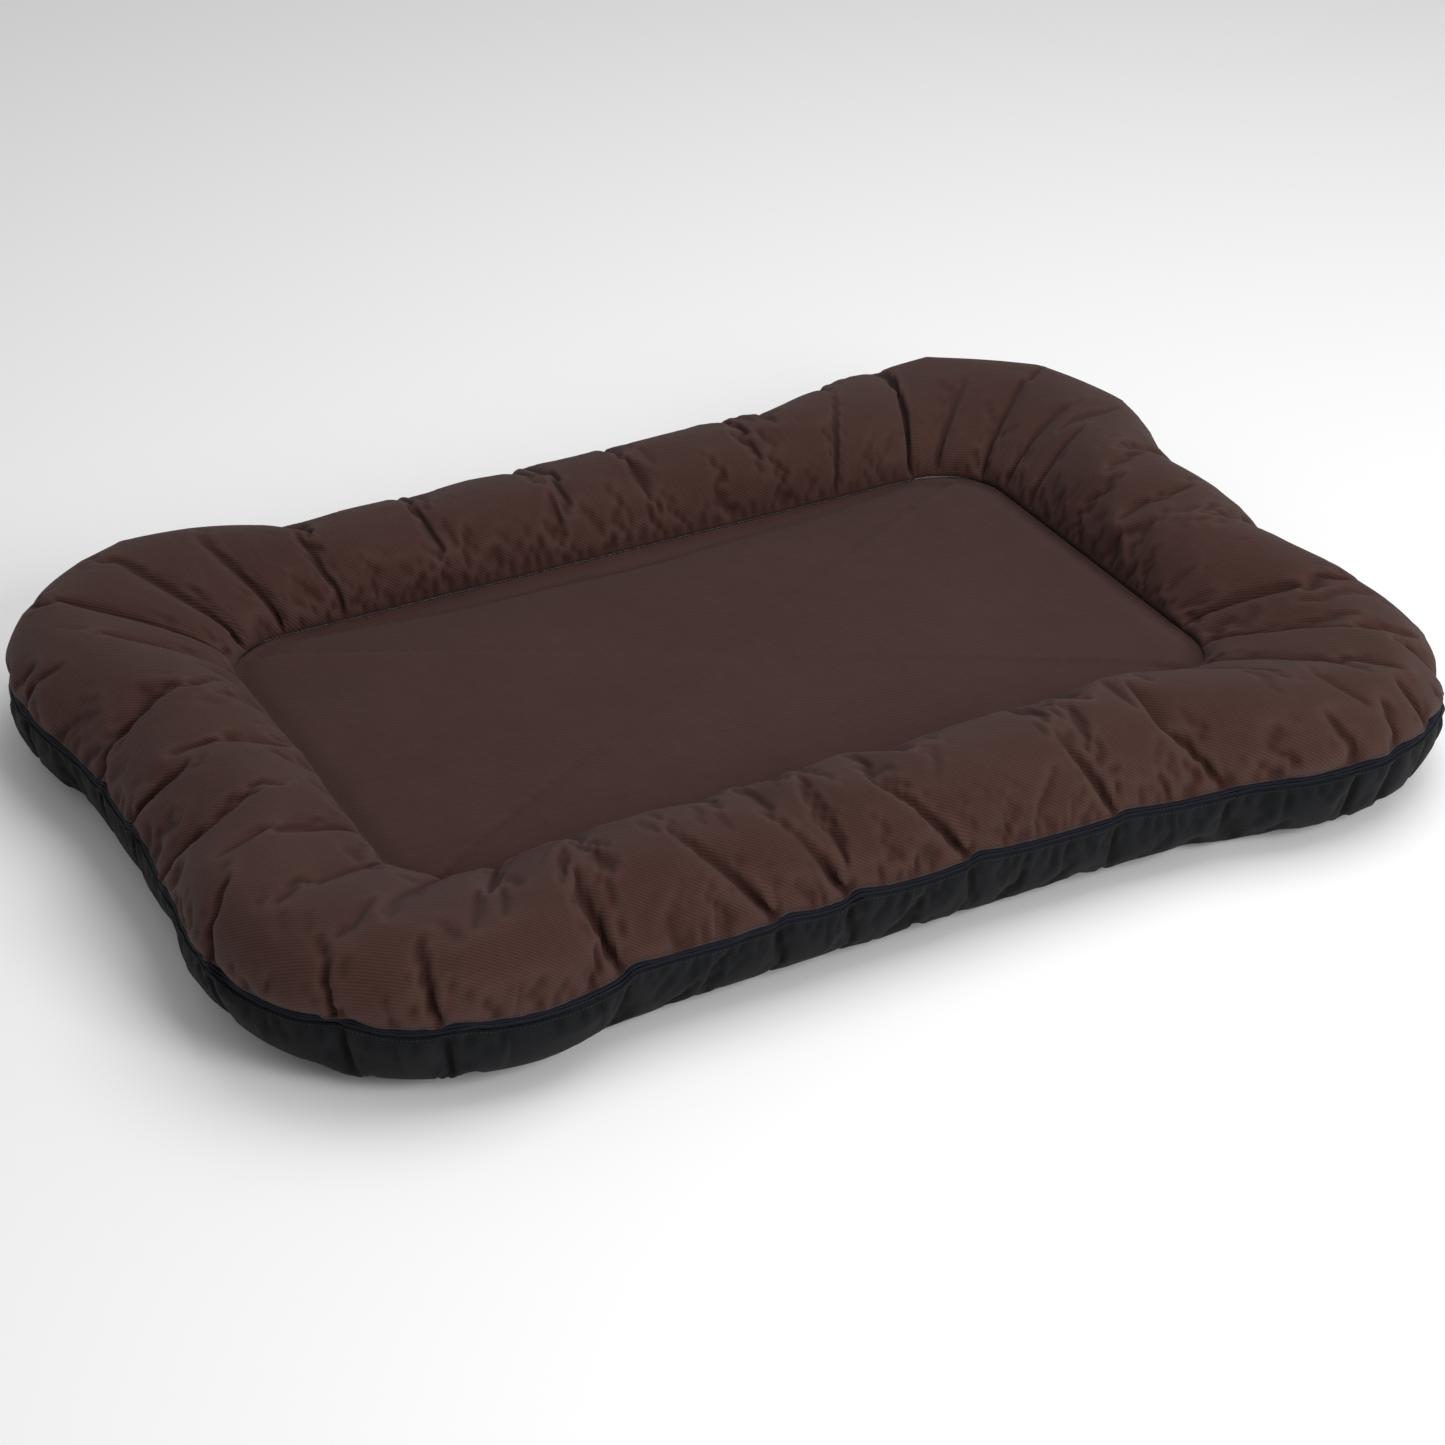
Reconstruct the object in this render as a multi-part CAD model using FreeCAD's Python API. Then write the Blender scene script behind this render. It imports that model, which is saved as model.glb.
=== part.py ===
import FreeCAD, Part
import os
from math import sqrt
from FreeCAD import Vector

# A rectangular pet cushion bed: a thick rim bolster round a lower lying panel, brown on top and black
# underneath, with a zip round the side between the two colours and a filled insert inside.
# Millimetres. Origin on the floor under the middle, +X along the long side, +Z up, zip slider at +Y.

os.makedirs("parts", exist_ok=True)

# plan of the cushion
overall_length = 1200.0
overall_width = 844.0
side_pull_in = 20.0            # how far the middle of each side is pulled in behind the full corners
corner_radius = 210.0
waist_radius = 350.0           # the hollow curve between a corner and the straight middle of a side
panel_length = 829.0           # inner seam, where the lying panel meets the rim
panel_width = 470.0
panel_corner_radius = 68.0

# heights and section of the rim
rim_height = 141.0
panel_height = 80.0
outer_shoulder = 69.0          # radius of the rim's outer shoulder
inner_shoulder = 50.0          # radius of the rim's inner shoulder, down to the panel
bottom_edge_radius = 36.0
zip_height = 62.0              # middle of the zip above the floor

# cloth and thread
cover_thickness = 1.4
liner_thickness = 0.6
thread_thickness = 0.5
cloth_gap = 0.4                # clear space between two layers that lie on each other

# zip
band_half = 4.3                # half of the height left open between the two hems
tape_thickness = 0.8
tape_width = 9.0
coil_thickness = 1.8
coil_width = 2.6
chain_gap = 0.5                # half of the gap between the upper and the lower chain
running_gap = 0.3
plate_thickness = 0.9
outer_plate_thickness = 1.9
plate_corner = 0.6
slider_length = 14.0
slider_half_width = 4.0
slider_x = 185.0               # where the slider is parked when the zip is closed
web_thickness = 0.4
bridge_length = 8.4
bridge_width = 2.0
bridge_height = 3.0
bridge_bar = 1.1
bridge_round = 1.4
tab_length = 31.0
tab_half_width = 3.1
tab_thickness = 1.1
tab_round = 1.5
tab_eye_radius = 1.3
stop_length = 2.4
stop_wall = 0.7
break_half = 4.0               # half length of the stretch where the zip's ends are turned in
end_tab_from = 200.0
end_tab_to = 226.0
end_tab_height = 30.0
end_tab_thickness = 1.2
end_tab_out = 0.7              # clear of the stitching rows that run on under it
end_tab_corner = 2.0
tab_seam_inset = 3.0           # from the end tab's edge to its box of stitching
tab_seam_height = 0.4
hem_seam_inset = 2.2           # from a hem's edge to its row of stitching
panel_seam_inset = 2.0
merge = 0.1                    # how far two fused blocks run into each other

# care label
label_x = 115.0
label_length = 30.0
label_height = 18.0
label_thickness = 0.3

# half sizes that follow
corner_x = overall_length / 2 - corner_radius
corner_y = overall_width / 2 - corner_radius
side_x = overall_length / 2 - side_pull_in
side_y = overall_width / 2 - side_pull_in
reach = sqrt(side_pull_in * (2 * (corner_radius + waist_radius) - side_pull_in))
straight_x = corner_x - reach  # half length of the straight middle of a long side
straight_y = corner_y - reach
tape_inset = cover_thickness + cloth_gap
coil_inset = tape_inset + tape_thickness + cloth_gap / 2
plate_inset = coil_inset + coil_thickness + running_gap
liner_inset = plate_inset + plate_thickness + 2 * cloth_gap
liner_top = rim_height - cover_thickness - cloth_gap
liner_panel = panel_height - cover_thickness - cloth_gap
liner_floor = cover_thickness + cloth_gap
liner_seam = zip_height


def arc(centre, start, end):
    middle = (start - centre) + (end - centre)
    middle.normalize()
    return Part.Arc(start, centre + middle * start.distanceToPoint(centre), end).toShape()


def outline(inset, z):
    """Outer outline moved inwards by inset: straight middles, hollow waists and full round corners."""
    edges = []
    for sx, sy in ((1, 1), (-1, 1), (-1, -1), (1, -1)):
        corner = Vector(sx * corner_x, sy * corner_y, z)
        end_waist = Vector(sx * (side_x + waist_radius), sy * straight_y, z)
        long_waist = Vector(sx * straight_x, sy * (side_y + waist_radius), z)
        waist_arcs = []
        for waist, run in ((end_waist, Vector(sx * (side_x - inset), sy * straight_y, z)),
                           (long_waist, Vector(sx * straight_x, sy * (side_y - inset), z))):
            towards = waist - corner
            towards.normalize()
            waist_arcs.append((waist, run, corner + towards * (corner_radius - inset)))
        for waist, run, touch in waist_arcs:
            edges.append(arc(waist, run, touch))
        edges.append(arc(corner, waist_arcs[0][2], waist_arcs[1][2]))
    for s in (1, -1):
        x, y = s * (side_x - inset), s * (side_y - inset)
        edges.append(Part.LineSegment(Vector(x, -straight_y, z), Vector(x, straight_y, z)).toShape())
        edges.append(Part.LineSegment(Vector(-straight_x, y, z), Vector(straight_x, y, z)).toShape())
    return Part.Wire(Part.__sortEdges__(edges))


def panel_outline(offset, z):
    """The rounded rectangle of the inner seam, moved outwards by offset."""
    half_x = panel_length / 2 + offset
    half_y = panel_width / 2 + offset
    radius = panel_corner_radius + offset
    edges = []
    for sx, sy in ((1, 1), (-1, 1), (-1, -1), (1, -1)):
        centre = Vector(sx * (half_x - radius), sy * (half_y - radius), z)
        edges.append(arc(centre, centre + Vector(sx * radius, 0, 0), centre + Vector(0, sy * radius, 0)))
    for s in (1, -1):
        reach_x, reach_y = half_x - radius, half_y - radius
        end = Part.LineSegment(Vector(s * half_x, -reach_y, z), Vector(s * half_x, reach_y, z))
        long_side = Part.LineSegment(Vector(-reach_x, s * half_y, z), Vector(reach_x, s * half_y, z))
        edges += [end.toShape(), long_side.toShape()]
    return Part.Wire(Part.__sortEdges__(edges))


def prism(wire, height):
    return Part.Face(wire).extrude(Vector(0, 0, height))


def block(x0, x1, y0, y1, z0, z1):
    return Part.makeBox(x1 - x0, y1 - y0, z1 - z0, Vector(x0, y0, z0))


def flat_edges(solid, z, inner):
    """Edges that lie in the plane z, on the panel side (inner) or on the outer outline."""
    found = []
    for edge in solid.Edges:
        box = edge.BoundBox
        if abs(box.ZMin - z) > 1e-4 or abs(box.ZMax - z) > 1e-4:
            continue
        middle = edge.valueAt((edge.FirstParameter + edge.LastParameter) / 2)
        on_panel_side = abs(middle.x) < side_x - 100 and abs(middle.y) < side_y - 100
        if on_panel_side == inner:
            found.append(edge)
    return found


def cushion(outer_inset, inner_inset, top, bottom, floor):
    """The cushion's body: the outline raised to the rim, with the lying pocket cut down to floor."""
    solid = prism(outline(outer_inset, bottom), top - bottom)
    solid = solid.cut(prism(panel_outline(inner_inset, floor), top - floor + 1))
    solid = solid.makeFillet(outer_shoulder - outer_inset, flat_edges(solid, top, False))
    solid = solid.makeFillet(inner_shoulder - inner_inset, flat_edges(solid, top, True))
    if bottom < bottom_edge_radius / 2:
        solid = solid.makeFillet(bottom_edge_radius - outer_inset, flat_edges(solid, bottom, False))
    return solid


def ring(inset, thickness, z, height):
    """A band of cloth or thread that follows the outer outline."""
    return prism(outline(inset, z), height).cut(prism(outline(inset + thickness, z), height))


def rim_cover():
    hem = zip_height + band_half
    outside = cushion(0, 0, rim_height, hem, hem - 1)
    inside = cushion(cover_thickness, cover_thickness, rim_height - cover_thickness, hem - 1, hem - 2)
    below_seam = prism(panel_outline(cover_thickness + 1, hem - 1), panel_height - cover_thickness - hem + 1)
    return outside.cut(inside).cut(below_seam)


def lying_panel():
    base = panel_height - cover_thickness
    return prism(panel_outline(-cloth_gap, base), cover_thickness)


def base_cover():
    height = zip_height - band_half
    outside = prism(outline(0, 0), height)
    outside = outside.makeFillet(bottom_edge_radius, flat_edges(outside, 0, False))
    inside = prism(outline(cover_thickness, cover_thickness), height)
    radius = bottom_edge_radius - cover_thickness
    inside = inside.makeFillet(radius, flat_edges(inside, cover_thickness, False))
    return outside.cut(inside)


def insert_liner(upper):
    whole = cushion(liner_inset, cover_thickness + cloth_gap, liner_top, liner_floor, liner_panel)
    t = liner_thickness
    hollow = cushion(liner_inset + t, cover_thickness + cloth_gap + t, liner_top - t, liner_floor + t,
                     liner_panel - t)
    shell = whole.cut(hollow)
    low, high = (liner_seam, rim_height) if upper else (0, liner_seam - cloth_gap / 2)
    half_x, half_y = overall_length / 2, overall_width / 2
    return shell.common(block(-half_x, half_x, -half_y, half_y, low, high))


def chamber_divider():
    low = liner_floor + liner_thickness + cloth_gap
    high = liner_panel - liner_thickness - cloth_gap
    outer = prism(panel_outline(cover_thickness, low), high - low)
    return outer.cut(prism(panel_outline(cover_thickness - liner_thickness, low), high - low))


def rim_filling():
    low = liner_floor + liner_thickness + cloth_gap
    inset = liner_inset + liner_thickness + cloth_gap
    inner = cover_thickness + liner_thickness + 2 * cloth_gap
    return cushion(inset, inner, liner_top - liner_thickness - cloth_gap, low, low - 1)


def centre_filling():
    low = liner_floor + liner_thickness + cloth_gap
    high = liner_panel - liner_thickness - cloth_gap
    return prism(panel_outline(cover_thickness - liner_thickness - cloth_gap, low), high - low)


def chain_break():
    """The stretch under the end tab where both ends of the zip are turned in."""
    middle = (end_tab_from + end_tab_to) / 2
    return block(middle - break_half, middle + break_half, side_y - 20, side_y + 5, 0, rim_height)


def zip_tape(side):
    z = zip_height + (chain_gap if side > 0 else -chain_gap - tape_width)
    return ring(tape_inset, tape_thickness, z, tape_width).cut(chain_break())


def zip_coil(side):
    z = zip_height + (chain_gap if side > 0 else -chain_gap - coil_width)
    return ring(coil_inset, coil_thickness, z, coil_width).cut(chain_break())


def rear(x, outward, up):
    """A point by the zip on the rear side: along the zip, out from the cover, up from the zip's middle."""
    return Vector(x, side_y + outward, zip_height + up)


def rear_block(x0, x1, out0, out1, up0, up1):
    return block(x0, x1, side_y + out0, side_y + out1, zip_height + up0, zip_height + up1)


def slider_plate(out0, thickness):
    """One plate of the slider: broad at the nose, with clipped tail corners, softened all round."""
    x0, x1 = slider_x - slider_length / 2, slider_x + slider_length / 2
    w = slider_half_width
    tail = 0.68 * w
    points = [(x0, -tail), (x0 + 5, -w), (x1 - 2, -w), (x1, -w + 2), (x1, w - 2), (x1 - 2, w), (x0 + 5, w),
              (x0, tail)]
    corners = [rear(x, out0, up) for x, up in points]
    plate = Part.Face(Part.makePolygon(corners + corners[:1])).extrude(Vector(0, thickness, 0))
    upright = [e for e in plate.Edges if e.BoundBox.YLength > thickness / 2]
    return plate.makeFillet(plate_corner, upright)


def zip_slider():
    half = slider_length / 2
    front = -tape_inset + running_gap          # inner face of the outer plate, just clear of the tape
    back = -plate_inset                        # inner face of the inner plate, just clear of the coils
    flange = -(tape_inset + tape_thickness + running_gap)
    body = slider_plate(front, outer_plate_thickness)
    body = body.fuse(slider_plate(back - plate_thickness, plate_thickness))
    coil_edge = chain_gap + coil_width + running_gap
    for side in (1, -1):
        low, high = sorted((side * coil_edge, side * slider_half_width))
        wing = rear_block(slider_x - half + 5, slider_x + half - 2, back - merge, flange, low, high)
        body = body.fuse(wing)
    web = rear_block(slider_x + half - 5, slider_x + half - 0.5, back - merge, front + merge,
                     -web_thickness / 2, web_thickness / 2)
    body = body.fuse(web)
    face = front + outer_plate_thickness
    x0, x1 = slider_x - bridge_length / 2, slider_x + bridge_length / 2
    bridge = rear_block(x0, x1, face - merge, face + bridge_height, -bridge_width / 2, bridge_width / 2)
    bridge = bridge.makeFillet(bridge_round, [e for e in bridge.Edges if e.BoundBox.ZLength > 1
                                     and e.BoundBox.YMax > side_y + face + 1])
    bridge = bridge.cut(rear_block(x0 + bridge_bar, x1 - bridge_bar, face, face + bridge_height - bridge_bar,
                                   -bridge_width, bridge_width))
    return body.fuse(bridge).removeSplitter()


pull_axis_out = -tape_inset + running_gap + outer_plate_thickness + (bridge_height - bridge_bar) / 2


def zip_pull_tab():
    out0 = pull_axis_out - tab_thickness / 2
    x1, x0 = slider_x, slider_x - tab_length
    w = tab_half_width
    points = [(x1, -w), (x1, w), (x0 + 12, w), (x0 + 8, 0.75 * w), (x0, w), (x0, -w), (x0 + 8, -0.75 * w),
              (x0 + 12, -w)]
    corners = [rear(x, out0, up) for x, up in points]
    tab = Part.Face(Part.makePolygon(corners + corners[:1])).extrude(Vector(0, tab_thickness, 0))
    rounded = [e for e in tab.Edges if e.BoundBox.YLength > tab_thickness / 2
               and e.BoundBox.XMax < slider_x - 1]
    tab = tab.makeFillet(tab_round, rounded)
    window = bridge_width / 2 + running_gap
    tab = tab.cut(rear_block(x1 - bridge_length / 2 - 1.2, x1 + 1, out0 - 1, out0 + 3, -window, window))
    eye = Part.makeCylinder(tab_eye_radius, 5, rear(x0 + 4, out0 - 1, 0), Vector(0, 1, 0))
    axle = Part.makeCylinder(tab_thickness / 2, 2 * w, rear(slider_x, pull_axis_out, -w), Vector(0, 0, 1))
    return tab.cut(eye).fuse(axle).removeSplitter()


def zip_top_stops():
    x0 = slider_x + slider_length / 2 + 1
    stops = []
    for side in (1, -1):
        low, high = sorted((side * (chain_gap + coil_width + cloth_gap), side * (chain_gap - 0.2)))
        out0, out1 = -coil_inset - coil_thickness - running_gap, -tape_inset + merge
        clip = rear_block(x0, x0 + stop_length, out0 - stop_wall, out1 + stop_wall, low, high)
        beyond = sorted((side * chain_gap, side * tape_width))
        inner = rear_block(x0 - 1, x0 + stop_length + 1, out0, out1, *beyond)
        stops.append(clip.cut(inner))
    return Part.makeCompound(stops)


def zip_bottom_stop():
    x0 = end_tab_to + 1.5
    x1 = x0 + 3
    out0, out1 = -coil_inset - coil_thickness - running_gap, -tape_inset + merge
    half = chain_gap + coil_width + cloth_gap
    web = chain_gap / 2
    clip = rear_block(x0, x1, out0 - stop_wall, out1 + stop_wall, -half, half)
    clip = clip.cut(rear_block(x0 - 1, x1 + 1, out0, out1, -half - 1, -web))
    return clip.cut(rear_block(x0 - 1, x1 + 1, out0, out1, web, half + 1))


def zip_end_tab():
    half = end_tab_height / 2
    tab = rear_block(end_tab_from, end_tab_to, end_tab_out, end_tab_out + end_tab_thickness, -half, half)
    return tab.makeFillet(end_tab_corner, [e for e in tab.Edges if e.BoundBox.YLength > 1])


def end_tab_thread():
    """The box of stitching that holds the end tab to both covers."""
    half = end_tab_height / 2 - tab_seam_inset
    out0 = end_tab_out + end_tab_thickness
    x0, x1 = end_tab_from + tab_seam_inset, end_tab_to - tab_seam_inset
    frame = rear_block(x0, x1, out0, out0 + tab_seam_height, -half, half)
    t = thread_thickness
    return frame.cut(rear_block(x0 + t, x1 - t, out0 - 1, out0 + 1, -half + t, half - t))


def zip_thread(side):
    """The row of stitching along a hem that holds it to its zip tape."""
    z = zip_height + side * (band_half + hem_seam_inset) - thread_thickness / 2
    return ring(-thread_thickness, thread_thickness, z, thread_thickness)


def inner_seam_thread():
    z = panel_height
    outer = prism(panel_outline(-panel_seam_inset, z), thread_thickness)
    return outer.cut(prism(panel_outline(-panel_seam_inset - thread_thickness, z), thread_thickness))


def care_label():
    """A blank woven label that stands inside the cover above the zip's chain."""
    out = -liner_inset + cloth_gap
    low = slider_half_width + 2
    return rear_block(label_x, label_x + label_length, out, out + label_thickness, low, low + label_height)


nodes = {
    "rim_cover": rim_cover(),
    "lying_panel": lying_panel(),
    "base_cover": base_cover(),
    "inner_seam_thread": inner_seam_thread(),
    "zip_tape_upper": zip_tape(1),
    "zip_tape_lower": zip_tape(-1),
    "zip_coil_upper": zip_coil(1),
    "zip_coil_lower": zip_coil(-1),
    "zip_thread_upper": zip_thread(1),
    "zip_thread_lower": zip_thread(-1),
    "zip_slider": zip_slider(),
    "zip_pull_tab": zip_pull_tab(),
    "zip_top_stops": zip_top_stops(),
    "zip_bottom_stop": zip_bottom_stop(),
    "zip_end_tab": zip_end_tab(),
    "end_tab_thread": end_tab_thread(),
    "insert_liner_upper": insert_liner(True),
    "insert_liner_lower": insert_liner(False),
    "chamber_divider": chamber_divider(),
    "rim_filling": rim_filling(),
    "centre_filling": centre_filling(),
    "care_label": care_label(),
}

for name, shape in nodes.items():
    shape.exportStep("parts/" + name + ".step")
    box = shape.BoundBox
    print("%-20s valid %s solids %d volume %.3f cm3  x %.1f %.1f  y %.1f %.1f  z %.1f %.1f" % (
        name, shape.isValid(), len(shape.Solids), shape.Volume / 1000,
        box.XMin, box.XMax, box.YMin, box.YMax, box.ZMin, box.ZMax))
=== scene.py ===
import math

import bpy
import numpy as np
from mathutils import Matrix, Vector, noise
from mathutils.bvhtree import BVHTree


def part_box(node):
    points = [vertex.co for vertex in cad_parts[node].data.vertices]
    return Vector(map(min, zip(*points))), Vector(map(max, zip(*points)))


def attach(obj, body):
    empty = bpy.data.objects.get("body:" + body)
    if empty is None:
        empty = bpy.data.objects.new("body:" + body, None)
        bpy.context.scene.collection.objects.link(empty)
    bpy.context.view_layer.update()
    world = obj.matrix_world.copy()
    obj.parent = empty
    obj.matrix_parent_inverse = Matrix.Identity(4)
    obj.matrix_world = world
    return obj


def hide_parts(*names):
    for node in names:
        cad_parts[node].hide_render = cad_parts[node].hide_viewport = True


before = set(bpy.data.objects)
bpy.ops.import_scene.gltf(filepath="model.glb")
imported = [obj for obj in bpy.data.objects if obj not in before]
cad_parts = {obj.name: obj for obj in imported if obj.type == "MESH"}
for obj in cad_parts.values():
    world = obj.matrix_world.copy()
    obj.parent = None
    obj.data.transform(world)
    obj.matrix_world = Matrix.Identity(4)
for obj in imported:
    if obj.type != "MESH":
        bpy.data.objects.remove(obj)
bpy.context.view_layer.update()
bpy.ops.object.select_all(action="DESELECT")
print("frame loaded")

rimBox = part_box("rim_cover")
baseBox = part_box("base_cover")
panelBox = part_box("lying_panel")

# plan of the cushion in metres, seen from above: the corners swell out and the sides between them draw in
plan = {
    "halfLength": rimBox[1].x,
    "halfWidth": rimBox[1].y,
    "pullIn": rimBox[1].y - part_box("zip_end_tab")[0].y + 0.0007,    # the end tab lies on the zip
    "cornerRadius": 0.210,
    "waistRadius": 0.350,
    "seamHalfLength": panelBox[1].x,
    "seamHalfWidth": panelBox[1].y,
    "seamCorner": 0.068,
    "columns": 560,
}
hemUpper = rimBox[0].z      # lower edge of the brown cloth
hemLower = baseBox[1].z     # upper edge of the black cloth


def heading(origin, point):
    return math.atan2(point[1] - origin[1], point[0] - origin[0])


def runLength(run):
    if run[0] == "arc":
        return abs(run[4] - run[3]) * run[2]
    return math.dist(run[1], run[2])


def walk(runs, distance):
    # the point that far along a chain of straight runs and arcs
    for run in runs:
        length = runLength(run)
        if distance <= length or run is runs[-1]:
            share = min(max(distance / length, 0.0), 1.0)
            if run[0] == "arc":
                turn = run[3] + (run[4] - run[3]) * share
                return run[1][0] + run[2] * math.cos(turn), run[1][1] + run[2] * math.sin(turn)
            return tuple(run[1][k] + (run[2][k] - run[1][k]) * share for k in (0, 1))
        distance -= length


def planColumns():
    # pairs of points, outer seam and inner seam, clockwise from the middle of the rear side
    sideX = plan["halfLength"] - plan["pullIn"]
    sideY = plan["halfWidth"] - plan["pullIn"]
    corner = (plan["halfLength"] - plan["cornerRadius"], plan["halfWidth"] - plan["cornerRadius"])
    radii = plan["cornerRadius"] + plan["waistRadius"]
    reach = math.sqrt(plan["pullIn"] * (2 * radii - plan["pullIn"]))
    straightX, straightY = corner[0] - reach, corner[1] - reach
    waistLong = (straightX, sideY + plan["waistRadius"])
    waistShort = (sideX + plan["waistRadius"], straightY)
    outer = [
        ("line", (0, sideY), (straightX, sideY)),
        ("arc", waistLong, plan["waistRadius"], -math.pi / 2, heading(waistLong, corner)),
        ("arc", corner, plan["cornerRadius"], heading(corner, waistLong), heading(corner, waistShort)),
        ("arc", waistShort, plan["waistRadius"], heading(waistShort, corner), math.pi),
        ("line", (sideX, straightY), (sideX, 0)),
    ]
    seamX, seamY, seamR = plan["seamHalfLength"], plan["seamHalfWidth"], plan["seamCorner"]
    inner = [
        ("line", (0, seamY), (seamX - seamR, seamY)),
        ("arc", (seamX - seamR, seamY - seamR), seamR, math.pi / 2, 0),
        ("line", (seamX, seamY - seamR), (seamX, 0)),
    ]
    outerRuns = [runLength(run) for run in outer]
    innerRuns = [runLength(run) for run in inner]
    # stations that face each other: middles, ends of the straight stretches, corners
    outerStops = [0, outerRuns[0], sum(outerRuns[:2]) + outerRuns[2] / 2, sum(outerRuns[:4]), sum(outerRuns)]
    innerStops = [0, straightX, innerRuns[0] + innerRuns[1] / 2, sum(innerRuns) - straightY, sum(innerRuns)]
    shares = np.array([a + b for a, b in zip(outerStops, innerStops)])
    shares = shares / shares[-1]
    count = plan["columns"] // 4
    quarter = []
    for k in range(count + 1):
        share = k / count
        outerPoint = walk(outer, np.interp(share, shares, outerStops))
        innerPoint = walk(inner, np.interp(share, shares, innerStops))
        quarter.append(outerPoint + innerPoint)
    quarter = np.array(quarter)
    around = [
        quarter[:-1],
        quarter[:0:-1] * (1, -1, 1, -1),
        quarter[:-1] * (-1, -1, -1, -1),
        quarter[:0:-1] * (-1, 1, -1, 1),
    ]
    around = np.concatenate(around)
    return around[:, :2], around[:, 2:]


outerLine, innerLine = planColumns()
columnCount = len(outerLine)
steps = np.linalg.norm(np.roll(outerLine, -1, 0) - outerLine, axis=1)
ringAt = np.concatenate([[0], np.cumsum(steps)[:-1]])     # distance of each column along the outer seam
ringLength = steps.sum()
tangent = np.roll(outerLine, -1, 0) - np.roll(outerLine, 1, 0)
tangent /= np.linalg.norm(tangent, axis=1)[:, None]
outward = np.stack([-tangent[:, 1], tangent[:, 0]], 1)    # clockwise walk, so out is to the left
across = outerLine - innerLine
rimWidth = np.linalg.norm(across, axis=1)
across = across / rimWidth[:, None]


def apart(a, b):
    # shortest signed distance along the ring from b to a
    return (a - b + ringLength / 2) % ringLength - ringLength / 2


def deselect():
    if bpy.context.object and bpy.context.object.mode != "OBJECT":
        bpy.ops.object.mode_set(mode="OBJECT")
    bpy.ops.object.select_all(action="DESELECT")


def makeActive(piece):
    deselect()
    piece.select_set(True)
    bpy.context.view_layer.objects.active = piece


def smoothFaces(piece):
    makeActive(piece)
    bpy.ops.object.shade_smooth()


def wrapGrid(name, rows, flat=None, closeRows=True, closeColumns=False):
    # a grid primitive laid onto rows x columns of points, closed where it meets itself
    rows = np.asarray(rows, float)
    if closeRows:
        rows = np.concatenate([rows, rows[:, :1]], 1)
        flat = None if flat is None else np.concatenate([flat, flat[:, :1]], 1)
    if closeColumns:
        rows = np.concatenate([rows, rows[:1]], 0)
        flat = None if flat is None else np.concatenate([flat, flat[:1]], 0)
    high, wide = rows.shape[:2]
    deselect()
    bpy.ops.mesh.primitive_grid_add(x_subdivisions=wide - 1, y_subdivisions=high - 1, size=2)
    piece = bpy.context.object
    piece.name = piece.data.name = name
    mesh = piece.data
    start = np.zeros(len(mesh.vertices) * 3)
    mesh.vertices.foreach_get("co", start)
    start = start.reshape(-1, 3)
    column = np.rint((start[:, 0] + 1) / 2 * (wide - 1)).astype(int)
    row = np.rint((start[:, 1] + 1) / 2 * (high - 1)).astype(int)
    mesh.vertices.foreach_set("co", rows[row, column].ravel())
    for label, values in (("row", row), ("column", column)):
        mesh.attributes.new(label, "INT", "POINT").data.foreach_set("value", values.astype(np.int32))
    if flat is not None:
        corner = np.zeros(len(mesh.loops), np.int32)
        mesh.loops.foreach_get("vertex_index", corner)
        mesh.uv_layers.active.data.foreach_set("uv", flat[row, column][corner].ravel())
    bpy.ops.object.mode_set(mode="EDIT")
    bpy.ops.mesh.select_all(action="SELECT")
    if closeRows or closeColumns:
        bpy.ops.mesh.remove_doubles(threshold=0.00002)
    bpy.ops.object.mode_set(mode="OBJECT")
    mesh.update()
    return piece


def readPoints(piece):
    points = np.zeros(len(piece.data.vertices) * 3)
    piece.data.vertices.foreach_get("co", points)
    return points.reshape(-1, 3)


def readAttribute(piece, label):
    values = np.zeros(len(piece.data.vertices), np.int32)
    piece.data.attributes[label].data.foreach_get("value", values)
    return values


def writePoints(piece, points):
    piece.data.vertices.foreach_set("co", np.asarray(points, float).ravel())
    piece.data.update()


def applyModifier(piece, kind, **values):
    makeActive(piece)
    modifier = piece.modifiers.new(kind.title(), kind)
    for key, value in values.items():
        setattr(modifier, key, value)
    bpy.ops.object.modifier_apply(modifier=modifier.name)


# the stuffed cover as it is laid out before it is filled
cover = {
    "rimRows": 30,
    "sideRows": 9,
    "floorRows": 6,
    "crest": 0.121,           # height of the rim before the filling swells it
    "fullness": 0.82,         # below 1 is squarer than a half circle
    "undercut": 0.036,        # how far the black side runs in under the cushion
    "floorReach": 0.105,
    "seamHeight": 0.079,
    "slack": 0.045,           # spare cloth in the rim and side, gathered by the seams
    "pressure": 4.0,
    "mass": 0.3,
    "tension": 40,
    "compression": 20,
    "shear": 10,
    "bending": 0.8,
    "damping": 8,
    "pucker": 0.62,           # share of each pucker's stated depth at the start
    "puckerBelow": 0.07,      # how far a pucker runs down the black side
    "foldDepth": 0.46,        # and of the sharp fold pressed in afterwards
    "foldBelow": 0.05,
    "foldEase": 0.018,        # a fold reaches its depth this far from the hem
    "leanBelow": -0.3,        # share of a pucker's lean that it has on the black side
    "lip": 0.22,
    "wedge": 0.80,            # height of the wedge of cloth beside a fold, against half its width
    "wedgeSpread": 0.50,
    "wedgeBelow": 0.022,
    "finer": 2,               # how much finer the sewn pieces are than the filled cover, up and round it
    "finerRound": 3,
    "cloth": 0.0014,
    "slideEnd": 0.240,        # how far from the middle of the rear side the slider can come
    "slideEase": 0.08,
    "frames": 26,
}
fineRing = (ringAt[:, None] + steps[:, None] * np.arange(cover["finerRound"]) / cover["finerRound"]).ravel()

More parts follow.
